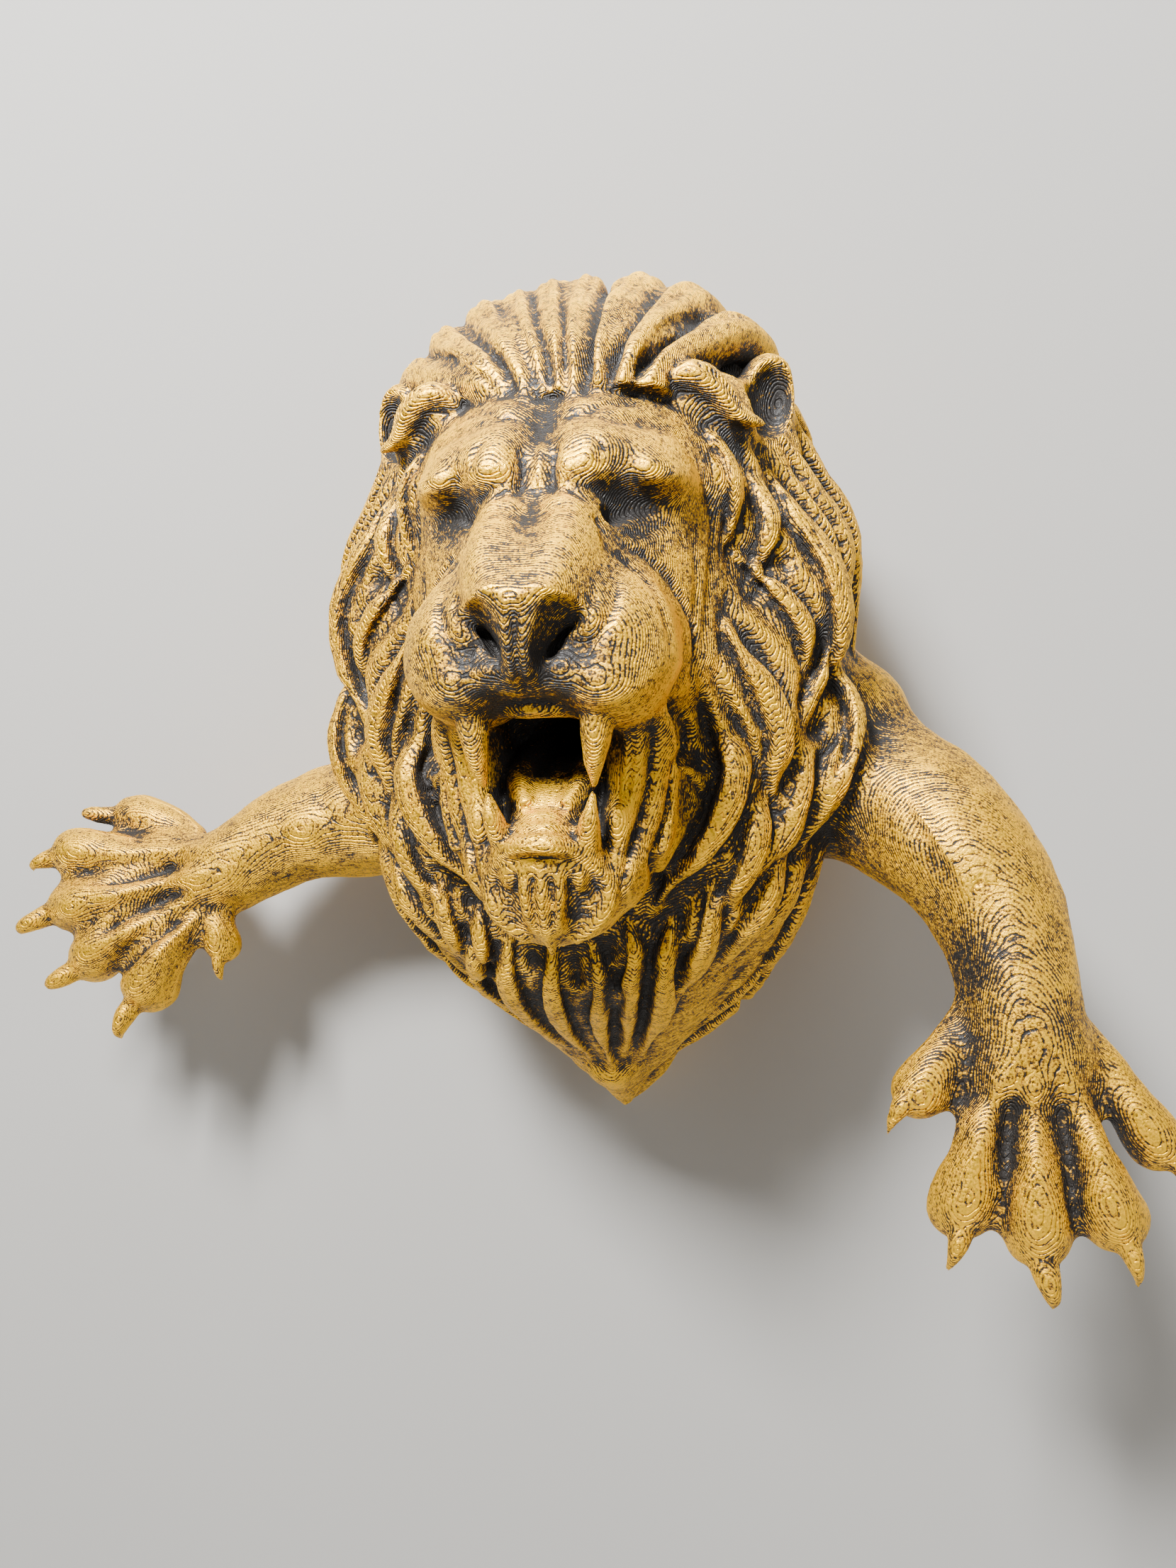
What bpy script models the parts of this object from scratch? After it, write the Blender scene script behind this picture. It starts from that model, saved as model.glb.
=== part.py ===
"""Roaring lion wall sculpture: head, mane and two reaching forelegs in one print.

The back lies flat on the wall at Y = 0 and the face looks along -Y, with +Z up.
The figure is worked like clay: round masses are fused into one skin, features are
added and hollows cut, and locks of hair are laid over the skin.
Places are (across, forward, up) and a route's fourth number is its radius, all in
shares of the lion's own height, see at() and SHARE.
"""
import math

import bmesh
import bpy
from mathutils import Euler, Matrix, Vector
from mathutils.bvhtree import BVHTree

# height from the point of the beard to the top of the forelocks
LION_HEIGHT = 0.186
SHARES_IN_HEIGHT = 186.0
SHARE = LION_HEIGHT / SHARES_IN_HEIGHT

# edge of the cells that fuse the clay, in shares: for masses, features and hair
MASS_GRAIN = 2.0
FEATURE_GRAIN = 1.3
HOLLOW_GRAIN = 0.9
HAIR_GRAIN = 1.1
MASS_SMOOTHING = 14
FACETS = 9600

PAINT = (0.46, 0.31, 0.11, 1.0)
PAINT_ROUGHNESS = 0.5
PAINT_METALLIC = 0.6

# masses run on behind the wall until the back is cut flat
BEHIND_WALL = -8.0
MANE_RING_POINTS = 48
MANE_SQUARENESS = 0.9
# cross-sections of the mane: height, half width, depth in the middle and at the sides
MANE_SECTIONS = (
    (-99, 1.5, 13, 8), (-92, 8, 24, 16), (-84, 15, 35, 26), (-74, 23, 47, 35),
    (-64, 30, 58, 42), (-50, 39, 69, 47), (-36, 47, 74, 50), (-18, 53, 75, 52),
    (0, 55, 76, 53), (18, 54, 77, 54), (34, 50, 78, 54), (48, 44, 76, 53),
    (60, 37, 70, 50), (70, 30, 60, 45), (78, 21, 50, 39), (83, 12, 44, 36), (85, 2, 40, 34),
)
RIGHT_ARM = (
    (42, 36, -14, 19), (60, 44, -21, 17.5), (74, 54, -31, 16),
    (83, 59, -44, 13.3), (86, 63, -56, 12), (87.5, 66, -70, 12),
)
LEFT_ARM = (
    (-45, 26, -22, 18), (-66, 24, -28, 16.5), (-80, 26, -31, 14),
    (-91, 28, -36, 12.5), (-102, 30, -43, 11.5), (-109, 31, -46, 10),
)

# the upper face: how far it stands off the wall in columns across and in rows from the
# hairline down to the lip; the columns are mirrored on the other side of the nose
FACE_COLUMNS = (0, 3, 6.5, 10, 12.5, 16, 20, 24, 26.5, 30)
FACE_ROWS = (
    (57, (84, 85, 86, 85, 83.5, 81, 78, 74, 69, 63)),
    (50, (88.5, 91, 92.5, 92, 90.5, 88, 85.5, 82, 78, 70)),
    (45, (91, 94.5, 96.5, 96.2, 95, 92.8, 90.5, 87.5, 83, 75)),
    (41, (93.5, 97, 98.4, 98, 97, 94.2, 93.8, 90.5, 85.5, 77)),
    (38, (95.5, 97.6, 99, 98.6, 97.6, 93.4, 94.8, 91.6, 86.5, 77.5)),
    (35, (96.6, 97.6, 98.4, 97.6, 96, 92.4, 93.8, 90.8, 86, 77.5)),
    (32.5, (97.6, 98.6, 98.6, 95.6, 92.4, 90.6, 90, 88.6, 85, 77.5)),
    (30, (98.8, 101.4, 101.8, 98, 93, 90.6, 89.6, 88, 84.5, 78)),
    (27, (101.2, 103.4, 104, 101.4, 95, 92, 90.4, 88.4, 84.5, 78.5)),
    (23, (105.6, 106.8, 106.8, 105, 98, 94.4, 91.4, 88.4, 84.6, 79)),
    (19, (108.8, 109.6, 109.2, 107.4, 100.5, 96, 92, 88, 84.5, 79)),
    (15, (111.6, 112, 111.6, 109.6, 101.5, 97, 92, 88, 84.5, 79.5)),
    (12.6, (114.2, 114.5, 113.6, 110.6, 102, 97, 92, 88, 84.5, 80)),
    (10.4, (115, 113.8, 110, 106, 101, 97, 92, 88, 84, 80)),
    (6, (111.5, 110, 104, 101, 100, 97, 92, 87.5, 84, 80)),
    (2, (109.5, 108.5, 104, 101, 99, 96, 91, 87, 83.5, 80)),
    (-2, (107.6, 107.4, 105, 102, 99, 95, 90, 86, 83, 78)),
    (-5.5, (105.6, 105.4, 104, 101, 97, 92, 87, 83, 79, 74)),
)
FACE_BACK = 62

# each toe: places of root, neck, knuckle, pad, its radius, and three places on its claw
RIGHT_TOES = (
    ((79, 64, -63), (73.5, 68.5, -70), (69.5, 70, -76), (68, 70, -78.5), 5.0,
     (65.5, 73, -79.5), (63.3, 74, -82.5), (62, 72.5, -86.5)),
    ((81.5, 67, -75), (79, 73, -86), (77, 73, -95.5), (76.2, 71.5, -101), 6.0,
     (75, 75.5, -103), (73.8, 76, -107), (72.9, 73, -110.8)),
    ((87.5, 68, -76), (88, 74, -88), (88.2, 74.5, -98.5), (88.5, 73, -104), 6.4,
     (89.5, 77, -108), (90.6, 77, -112), (91.2, 74, -115.5)),
    ((93, 67, -76), (97, 73, -87), (100.5, 73, -96.5), (102, 71.5, -101), 6.0,
     (104, 75, -103), (105.3, 75.5, -107), (106, 72.5, -110.6)),
    ((96, 62, -66), (103, 66, -75), (109, 66.5, -84), (110.8, 65.5, -86.5), 5.0,
     (113, 68, -88.5), (114.8, 68.5, -92), (115.3, 65, -96)),
)
LEFT_TOES = (
    ((-115, 26, -38), (-125, 25, -32.5), (-135, 25, -29.5), (-138, 24.5, -29), 5.6,
     (-141, 27, -28.3), (-144.5, 28, -27.8), (-147, 26, -28.6)),
    ((-118, 31, -42), (-132, 33, -38.8), (-144, 32.5, -38), (-148, 32, -38.5), 5.6,
     (-151, 34.5, -39.6), (-155, 35.5, -41), (-157.8, 32.5, -43)),
    ((-117, 33, -46), (-130, 37, -49), (-142, 35.5, -51.5), (-147, 34.5, -53), 6.0,
     (-151, 38, -54.8), (-155.5, 38.8, -57), (-158.8, 36, -59.3)),
    ((-114, 33, -50), (-125, 37.5, -56.5), (-134.5, 36.5, -63), (-138.5, 35.5, -66), 6.0,
     (-142.5, 39, -69.2), (-146.5, 39.5, -71.4), (-149.3, 37, -73)),
    ((-108, 33, -52), (-114, 37.5, -61.5), (-119.5, 37, -70), (-121.5, 36, -74), 6.4,
     (-124.3, 39.5, -78), (-126.3, 40, -82), (-127.8, 37, -85.5)),
    ((-103, 32, -49), (-101.5, 34.5, -55), (-100.5, 34.5, -60), (-100.3, 34, -62), 4.4,
     (-100.3, 36.8, -64.5), (-100, 37, -67.5), (-100.2, 35, -70)),
)
TOE_SHAPE = (0.8, 0.68, 1.0, 0.86)
CLAW_SHAPE = (0.5, 0.46, 0.36, 0.16)

# locks on both flanks of the mane: thickest radius, then places down the lock
FLANK_LOCKS = (
    (3.6, (27, 80, 49), (31, 78, 41), (33, 77, 32), (32, 78, 23)),
    (3.6, (33, 76, 50), (38, 73, 41), (40, 73, 31), (38, 74, 22), (36, 75, 14)),
    (5.2, (39, 72, 44), (46, 69, 32), (51, 66, 20), (52, 65, 9), (48, 67, -3), (42, 68, -18)),
    (4.4, (42, 68, 50), (50, 64, 42), (56, 60, 31), (57, 59, 20), (55, 60, 10)),
    (5.4, (45, 62, 56), (53, 58, 46), (59, 53, 33), (61, 51, 20), (59, 53, 8)),
    (3.6, (33, 77, 27), (40, 73, 19), (46, 71, 12), (48, 69, 4), (46, 70, -4)),
    (4.8, (30, 78, 15), (34, 76, 5), (40, 72, -4), (42, 71, -12), (40, 70, -20), (37, 69, -31)),
    (5.2, (26, 80, 3), (31, 75, -9), (33, 73, -19), (28, 73, -31), (20, 72, -40), (15, 69, -49)),
    (3.0, (22, 84, -15), (25.5, 76, -20), (26, 74, -26), (23.5, 73, -33), (19, 72, -40)),
    (5.2, (50, 65, 7), (55, 62, -4), (53, 61, -16), (48, 61, -27), (43, 60, -37)),
    (4.8, (59, 54, 12), (60, 50, 0), (59, 48, -12), (54, 48, -24)),
    (4.2, (36, 72, -16), (38, 70, -26), (35, 69, -36), (29, 67, -46), (24, 62, -56)),
    (4.4, (30, 71, -36), (28, 69, -44), (26, 65, -52), (20, 57, -62), (15, 47, -73)),
    (4.4, (44, 64, -30), (38, 63, -42), (32, 60, -52), (26, 53, -62)),
    (4.6, (51, 54, -27), (48, 54, -38), (42, 50, -50), (35, 44, -61), (27, 37, -72), (17, 27, -83)),
)
BEARD_LOCKS = (
    (4.4, (22, 70, -45), (17.5, 65, -55), (14, 58, -64), (13, 46, -75), (8, 34, -85)),
    (4.0, (10, 72, -47), (12, 67, -54), (10, 59, -63), (6, 48, -73), (3, 38, -82)),
    (3.8, (3.5, 70, -52), (3, 61, -62), (2, 50, -72), (0.5, 37, -83)),
    (3.4, (-3, 64, -58), (-3.5, 52, -70), (-5, 38, -82)),
    (3.4, (-8, 63, -58), (-9, 54, -68), (-10, 39, -80)),
    (4.0, (-13, 70, -49), (-14.5, 62, -59), (-15, 50, -70), (-12, 36, -82)),
    (4.4, (-21, 70, -43), (-21, 65, -53), (-21, 54, -64), (-18, 44, -75)),
)
# locks that stand up over the forehead, clear of the skin but for their roots
FORELOCKS = (
    (3.6, (-4, 88, 50), (-3.5, 82, 60), (-2, 76, 70), (-1.5, 68, 78), (-1, 58, 81)),
    (3.6, (2.5, 88, 50.5), (1.5, 83, 60), (0.5, 76, 70), (0.5, 68, 78), (0, 58, 81)),
    (5.2, (-8, 86, 52), (-9.5, 80, 61), (-9.5, 71, 70.5), (-9, 60, 77)),
    (4.6, (-12, 84, 53), (-15, 79, 61), (-18, 71, 69), (-21, 60, 74)),
    (3.0, (-14, 77, 66), (-16, 67, 74), (-17, 56, 77)),
    (4.6, (-18, 82, 54), (-22, 77, 60), (-27, 69, 66), (-31, 60, 69)),
    (3.0, (-22, 73, 66), (-27, 63, 71), (-30, 54, 72)),
    (3.8, (-24, 80, 52), (-29, 75, 57), (-34, 68, 61), (-38, 60, 63)),
    (4.8, (5.5, 86, 53), (7.5, 81, 62), (6, 71, 74), (5, 60, 83)),
    (3.4, (10, 82, 59), (11.5, 75, 68), (11.5, 65, 76), (12, 55, 80)),
    (4.8, (9.5, 84, 54), (13.5, 79, 62), (18.5, 71, 70), (25, 61, 74), (32, 52, 72)),
    (3.0, (17, 75, 71), (23, 65, 76), (29, 55, 76)),
    (4.6, (14, 83, 54), (18, 79, 60), (24, 73, 66), (31, 66, 69), (38, 59, 66)),
    (4.2, (18, 82, 53), (22, 79, 58), (27.5, 74, 62), (33, 69, 63), (38, 65, 60)),
)
CURL_BEFORE_EAR = (
    3.4, (20, 82, 55), (25, 82, 57.5), (30, 80.5, 55.5), (34.5, 78.5, 50.5), (39, 76.5, 48.8),
)
# how far a lock's middle rises from the skin and its ends sink, as shares of its radius
LOCK_RISE = 0.32
LOCK_SINK = 0.9
LOCK_ENDS = (0.5, 1.8, 0.22, 1.55)
FILLER_SIZE = 0.66

# plainer locks that sweep over the crown and sides to just short of the wall: how many
# on each side, the angles from straight up that they share, and the depths they pass
SWEPT_LOCKS = 13
SWEPT_ANGLES = (4, 168)
SWEPT_DEPTHS = (56, 45, 33, 20, 7)
SWEPT_THICKNESS = 5.0
SWEPT_DROOP = 10
SWEPT_SWAY = 3.0
MANE_MIDDLE = 5
MANE_REACH = 105


def at(across, forward, up):
    """A place on the lion in shares: to the viewer's right, off the wall and up."""
    return Vector((across, -forward, up)) * SHARE


class Clay:
    """Loose closed lumps and strands that are then fused into one skin."""

    def __init__(self, skin=None):
        """Starts from a skin that was fused before, where there is one."""
        self.lumps = bmesh.new()
        if skin:
            self.lumps.from_mesh(skin)
        self.strands = bpy.data.curves.new("strands", "CURVE")
        self.strands.dimensions = "3D"
        self.strands.bevel_depth = 1.0
        self.strands.bevel_resolution = 3
        self.strands.use_fill_caps = True

    def ball(self, place, radii, turn=(0, 0, 0), both=False):
        """Adds an egg of three radii, turned in degrees, and its mirror image."""
        for side in (1, -1) if both else (1,):
            centre = at(side * place[0], place[1], place[2])
            angles = Euler(math.radians(a) for a in (turn[0], side * turn[1], side * turn[2]))
            shape = Matrix.LocRotScale(centre, angles, Vector(radii) * SHARE)
            bmesh.ops.create_icosphere(self.lumps, subdivisions=4, radius=1.0, matrix=shape)

    def strand(self, *route, both=False):
        """Adds a round strand through the places of a route, each with its radius."""
        for side in (1, -1) if both else (1,):
            places = [at(side * across, forward, up) for across, forward, up, _ in route]
            self.tube(places, [radius for *_, radius in route])

    def tube(self, places, radii, round_end=False):
        """Adds a round strand through places in metres, with radii in shares."""
        spline = self.strands.splines.new("BEZIER")
        spline.bezier_points.add(len(places) - 1)
        spline.resolution_u = 6
        spline.radius_interpolation = "BSPLINE"
        for point, place, radius in zip(spline.bezier_points, places, radii):
            point.co = place
            point.radius = radius * SHARE
            point.handle_left_type = "AUTO"
            point.handle_right_type = "AUTO"
        if round_end:
            shape = Matrix.Translation(places[-1]) @ Matrix.Scale(radii[-1] * SHARE, 4)
            bmesh.ops.create_icosphere(self.lumps, subdivisions=3, radius=1.0, matrix=shape)

    def fused(self, grain, smoothing):
        """The lumps and strands as one closed skin.

        grain is the cell size in shares and smoothing the number of passes.
        """
        if self.strands.splines:
            tube = bpy.data.objects.new("strands", self.strands)
            self.lumps.from_mesh(evaluated(tube))
        mesh = bpy.data.meshes.new("lumps")
        self.lumps.to_mesh(mesh)
        self.lumps.free()
        remesh = ("REMESH", {"mode": "VOXEL", "voxel_size": grain * SHARE})
        smooth = ("SMOOTH", {"factor": 0.5, "iterations": smoothing})
        return modified(mesh, remesh, smooth)


def evaluated(shape):
    """The mesh of an object with its modifiers applied; the object is removed."""
    bpy.context.scene.collection.objects.link(shape)
    depsgraph = bpy.context.evaluated_depsgraph_get()
    mesh = bpy.data.meshes.new_from_object(shape.evaluated_get(depsgraph))
    bpy.data.objects.remove(shape)
    return mesh


def modified(mesh, *steps):
    """The mesh after modifiers, each given as its type and its settings."""
    shape = bpy.data.objects.new("shape", mesh)
    for kind, settings in steps:
        modifier = shape.modifiers.new(kind, kind)
        for name, value in settings.items():
            setattr(modifier, name, value)
    return evaluated(shape)


def carved(mesh, hollows):
    """The mesh with the hollows cut out of it."""
    cutter = bpy.data.objects.new("hollows", hollows)
    cutter.hide_render = True
    cutter.display_type = "WIRE"
    bpy.context.scene.collection.objects.link(cutter)
    done = modified(mesh, ("BOOLEAN", {"operation": "DIFFERENCE", "object": cutter}))
    bpy.data.objects.remove(cutter)
    return done


def surface_tree(mesh):
    """A tree that finds the nearest place on a mesh."""
    surface = bmesh.new()
    surface.from_mesh(mesh)
    tree = BVHTree.FromBMesh(surface)
    surface.free()
    return tree


def mane_core():
    """The mane without its locks: D-shaped sections joined from the beard to the crown."""
    core = bmesh.new()
    edges = []
    for up, half, front, side in MANE_SECTIONS:
        ring = bmesh.ops.create_circle(core, segments=MANE_RING_POINTS, radius=1.0)["verts"]
        for vert in ring:
            rise = max(vert.co.y, 0.0) ** MANE_SQUARENESS
            across = math.copysign(abs(vert.co.x) ** MANE_SQUARENESS, vert.co.x) * half
            forward = side + (front - side) * rise if vert.co.y > -1e-6 else BEHIND_WALL
            vert.co = at(across, forward, up)
        edges += {edge for vert in ring for edge in vert.link_edges}
    bmesh.ops.bridge_loops(core, edges=edges)
    bmesh.ops.holes_fill(core, edges=core.edges, sides=MANE_RING_POINTS)
    bmesh.ops.recalc_face_normals(core, faces=core.faces)
    mesh = bpy.data.meshes.new("mane_core")
    core.to_mesh(mesh)
    core.free()
    return mesh


def masses():
    """The large forms: mane, skull, shoulders, forelegs and palms."""
    clay = Clay(mane_core())
    clay.ball((0, 66, 40), (28, 26, 19))
    clay.ball((0, 60, 14), (29, 30, 30))
    clay.ball((23, 70, 24), (7, 15, 18), both=True)
    clay.ball((47, 46, -8), (16, 14, 20))
    clay.strand(*RIGHT_ARM)
    clay.ball((88, 67, -72), (13, 8.5, 9.5), (12, 0, 6))
    clay.strand(*LEFT_ARM)
    clay.ball((-110, 31, -47), (12, 7.5, 11.5))
    return clay.fused(MASS_GRAIN, MASS_SMOOTHING)


def upper_face():
    """Forehead, brows, nose and muzzle: a grid of FACE_ROWS, rounded and made solid."""
    places = []
    for up, forward in FACE_ROWS:
        row = list(zip(FACE_COLUMNS, forward))
        left_side = [(-across, depth) for across, depth in reversed(row[1:])]
        places += [at(across, depth, up) for across, depth in left_side + row]
    across_count = 2 * len(FACE_COLUMNS) - 2
    sheet = bmesh.new()
    bmesh.ops.create_grid(sheet, x_segments=across_count, y_segments=len(FACE_ROWS) - 1, size=1.0)
    sheet.verts.ensure_lookup_table()
    for vert, place in zip(sheet.verts, places):
        vert.co = place
    mesh = bpy.data.meshes.new("upper_face")
    sheet.to_mesh(mesh)
    sheet.free()
    mesh = modified(mesh, ("SUBSURF", {"levels": 2, "render_levels": 2}))
    block = bmesh.new()
    block.from_mesh(mesh)
    grown = bmesh.ops.extrude_face_region(block, geom=block.faces[:], use_keep_orig=True)
    for item in grown["geom"]:
        if isinstance(item, bmesh.types.BMVert):
            item.co.y = -FACE_BACK * SHARE
    bmesh.ops.recalc_face_normals(block, faces=block.faces)
    block.to_mesh(mesh)
    block.free()
    return mesh


def face(clay):
    """Brows, nose, muzzle, cheeks, jaws and ears."""
    clay.lumps.from_mesh(upper_face())
    # inner brows, the block beside each and the humps at the top of the nose
    clay.ball((8.6, 92.6, 38.6), (6.4, 7.4, 5.4), (0, -14, 0), both=True)
    clay.ball((21, 89.6, 36.4), (5.6, 6.6, 4.8), (0, 10, -24), both=True)
    clay.ball((6.3, 96.6, 26.4), (5.0, 6.4, 5.2), (0, -16, 0), both=True)
    # septum, wings of the nose and whisker pads
    clay.strand((2.4, 111, 9.5, 1.7), (1.7, 110.4, 4, 1.5), (1.4, 107.6, -2, 1.8), both=True)
    clay.ball((10.4, 102.6, 11.4), (2.4, 5.0, 3.4), both=True)
    clay.ball((11.5, 90, 6.5), (14.8, 16.4, 14.0), both=True)
    clay.ball((13, 92.5, -0.5), (11.6, 14.2, 8.4), both=True)
    clay.ball((7, 96.5, -0.8), (6.8, 11.2, 6.4), both=True)
    # flesh round the mouth, with a rim from the upper lip to the lower jaw
    clay.ball((17.5, 75, -20), (9, 14, 21), both=True)
    clay.strand((20, 96, -4, 3.4), (19, 91, -12, 2.4), (17.6, 88.6, -22, 2.4),
                (14.4, 89.6, -30, 3.2), both=True)
    clay.ball((14.6, 84, -36.5), (4.6, 8.4, 9.0), (0, 12, 0), both=True)
    clay.ball((0, 81.5, -40.5), (11.6, 10.6, 10.6))
    # ears
    clay.strand((30, 70, 44, 5), (35, 66, 52, 6), (37.5, 64, 60, 5), both=True)
    clay.ball((37.5, 65, 56), (6.4, 6, 9.8), (0, 10, -25), both=True)


def hollows():
    """Mouth, nostrils, eyes, ear cups and the deepest grooves, as one cutter."""
    clay = Clay()
    clay.ball((0, 92, -17.5), (10.6, 22, 10.4))
    clay.ball((0, 76, -15), (9.4, 20, 8.5))
    clay.ball((13.6, 93.4, -16.6), (2.8, 5.4, 9), both=True)
    # each nostril slants in and down from under the wing to beside the septum
    clay.strand((10.6, 106, 8.0, 1.1), (8.4, 106.4, 5.6, 1.8), (6, 106.6, 2.6, 1.9),
                (3.9, 107.8, -1.4, 0.9), both=True)
    clay.strand((9, 102.5, 7.0, 1.6), (6.4, 103, 3.4, 2.2), (4.6, 104, 0.4, 1.4), both=True)
    clay.strand((0, 113, 8.5, 0.8), (0, 112, 4, 0.8), (0, 109.6, 0, 0.8), (0, 107.6, -7, 0.8))
    # eyes: slanting hollows under the brows
    clay.strand((11.4, 95.4, 27.6, 1.4), (14.6, 92.6, 28.8, 2.5), (18.4, 91, 30.4, 2.3),
                (23.6, 89, 31.6, 1.1), both=True)
    clay.ball((40, 71, 56), (4.6, 7, 7.8), (0, 10, -25), both=True)
    # pits in the chin, and grooves between and over the brows and beside the nose
    clay.strand((6, 93, -40, 0.9), (6.6, 92, -44.6, 2.3), (5.4, 91, -48.4, 1.6), both=True)
    clay.strand((15.6, 98.6, 43.6, 0.9), (15.9, 98, 38, 1.5), (15.4, 96, 33, 1.3), both=True)
    clay.strand((17, 97.4, 42, 0.9), (22, 94.4, 41.4, 1.3), (27, 88.6, 39, 1.0), both=True)
    clay.strand((0, 91.6, 50, 0.8), (0, 96.6, 43, 1.6), (0, 98, 37, 1.3), (0, 100.8, 31, 1.3))
    clay.strand((12, 104.6, 9, 0.9), (13, 104.2, 14, 1.2), (13.2, 101.6, 19, 1.3),
                (12.4, 98.4, 24, 1.0), both=True)
    return clay.fused(HOLLOW_GRAIN, 1)


def mouth(clay):
    """Fangs, palate, lips, tongue and the ridged tuft on the chin."""
    clay.strand((11.8, 97, -2, 3.6), (11.6, 99.4, -8, 3.3), (11.1, 98.6, -14, 2.4),
                (10.3, 96, -21, 0.5), both=True)
    clay.strand((8.2, 90.5, -33, 2.8), (8.7, 94, -28, 2.4), (9.4, 95.4, -24, 1.5),
                (9.7, 95, -20.5, 0.5), both=True)
    clay.strand(*((x, 99.5 - 0.072 * x * x, -6.6 + 0.018 * x * x, 2.2) for x in (-9.5, -5, 0, 5, 9.5)))
    clay.strand(*((x, 96 - 0.07 * x * x, -28.6 - 0.036 * x * x, 2.2) for x in (-11.5, -6, 0, 6, 11.5)))
    clay.strand(*((x, 94.4 - 0.07 * x * x, -31.8 - 0.05 * x * x, 1.6) for x in (-10, -5, 0, 5, 10)))
    clay.strand(*((x, 92 - 0.08 * x * x, -26.2 - 0.028 * x * x, 1.7) for x in (-8, -4, 0, 4, 8)))
    clay.strand((3.4, 62, -15, 4.4), (3.6, 76, -17.5, 4.6), (3.6, 85, -20.5, 4.3),
                (3, 88, -25, 2.5), both=True)
    for root, tip, low in ((0, 0.5, -53), (3.2, 1.8, -50), (-3.2, -1.4, -50)):
        clay.strand((root * 0.5, 92, -34, 1.0), (root, 93, -39, 1.7),
                    (root, 92, -45, 1.6), (tip, 86, low, 0.7))
    for side in (1, -1):
        clay.strand((side * 5.4, 91, -35, 0.8), (side * 9.6, 89.4, -40, 1.8),
                    (side * 9, 89, -47, 1.7), (side * 4.4, 87, -50.6, 0.9))


def toes(clay):
    """Toes of both paws, each with a narrow neck, a round knuckle and a pad."""
    for *places, radius, _, _, _ in RIGHT_TOES + LEFT_TOES:
        clay.tube([at(*place) for place in places], [radius * share for share in TOE_SHAPE], True)


def claws(clay):
    """One hooked claw on each toe."""
    for _, _, _, pad, radius, *claw in RIGHT_TOES + LEFT_TOES:
        places = [at(*place) for place in (pad, *claw)]
        clay.tube(places, [radius * share for share in CLAW_SHAPE], True)


def lock(clay, skin_tree, thickness, places, side=1):
    """Lays a tapered lock of hair.

    With a skin_tree the lock lies on that skin, with its middle raised by LOCK_RISE;
    without one it runs through the places as they are. side is -1 for the other flank.
    """
    root, swell, tip, taper = LOCK_ENDS
    middles = []
    radii = []
    for number, (across, forward, up) in enumerate(places):
        along = number / (len(places) - 1)
        fullness = min(root + swell * along, 1.0, tip + taper * (1 - along))
        middle = at(side * across, forward, up)
        if skin_tree:
            skin, outward, *_ = skin_tree.find_nearest(middle)
            rise = LOCK_RISE - LOCK_SINK * (1 - fullness)
            middle = skin + outward * (thickness * rise * SHARE)
        middles.append(middle)
        radii.append(thickness * fullness)
    clay.tube(middles, radii, round_end=True)


def between(lock_a, lock_b):
    """A thinner lock that fills the gap between two neighbours."""
    count = min(len(lock_a), len(lock_b)) - 1
    places = [tuple((a + b) / 2 for a, b in zip(lock_a[n], lock_b[n])) for n in range(1, count + 1)]
    return (min(lock_a[0], lock_b[0]) * FILLER_SIZE, *places)


def swept_locks(clay):
    """Lays the locks of the crown and sides, which sweep back and down to the wall."""
    core_tree = surface_tree(mane_core())
    first, last = SWEPT_ANGLES
    steps = len(SWEPT_DEPTHS) - 1
    for number in range(SWEPT_LOCKS):
        angle = first + (last - first) * number / (SWEPT_LOCKS - 1)
        thickness = SWEPT_THICKNESS * (0.85 if number % 2 else 1.0)
        places = []
        for step, forward in enumerate(SWEPT_DEPTHS):
            sway = SWEPT_SWAY * math.sin(2 * step + number)
            turn = math.radians(angle + SWEPT_DROOP * step / steps + sway)
            across = MANE_REACH * math.sin(turn)
            places.append((across, forward, MANE_MIDDLE + MANE_REACH * math.cos(turn)))
        for side in (1, -1):
            lock(clay, core_tree, thickness, places, side)


def hair(clay, skin):
    """Lays the locks of the mane, the beard and the crown over the skin."""
    tree = surface_tree(skin)
    fillers = [between(a, b) for a, b in zip(FLANK_LOCKS, FLANK_LOCKS[1:])]
    for side in (1, -1):
        for thickness, *places in (*FLANK_LOCKS, *fillers):
            lock(clay, tree, thickness, places, side)
        thickness, *places = CURL_BEFORE_EAR
        lock(clay, None, thickness, places, side)
    for thickness, *places in BEARD_LOCKS:
        lock(clay, tree, thickness, places)
    for thickness, *places in FORELOCKS:
        lock(clay, None, thickness, places)
    swept_locks(clay)


def flat_back(mesh):
    """Cuts the figure off flat at the wall."""
    body = bmesh.new()
    body.from_mesh(mesh)
    geometry = body.verts[:] + body.edges[:] + body.faces[:]
    wall = {"plane_co": (0, 0, 0), "plane_no": (0, 1, 0)}
    bmesh.ops.bisect_plane(body, geom=geometry, clear_outer=True, **wall)
    rim = [edge for edge in body.edges if edge.is_boundary]
    bmesh.ops.holes_fill(body, edges=rim, sides=len(rim))
    bmesh.ops.recalc_face_normals(body, faces=body.faces)
    body.to_mesh(mesh)
    body.free()


def lion_mesh():
    """The whole figure as one closed mesh."""
    skin = masses()
    clay = Clay(skin)
    face(clay)
    toes(clay)
    skin = carved(clay.fused(FEATURE_GRAIN, 3), hollows())
    clay = Clay(skin)
    mouth(clay)
    claws(clay)
    hair(clay, skin)
    skin = clay.fused(HAIR_GRAIN, 1)
    triangles = sum(len(polygon.vertices) - 2 for polygon in skin.polygons)
    skin = modified(skin, ("DECIMATE", {"ratio": FACETS / triangles}))
    flat_back(skin)
    return skin


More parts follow.
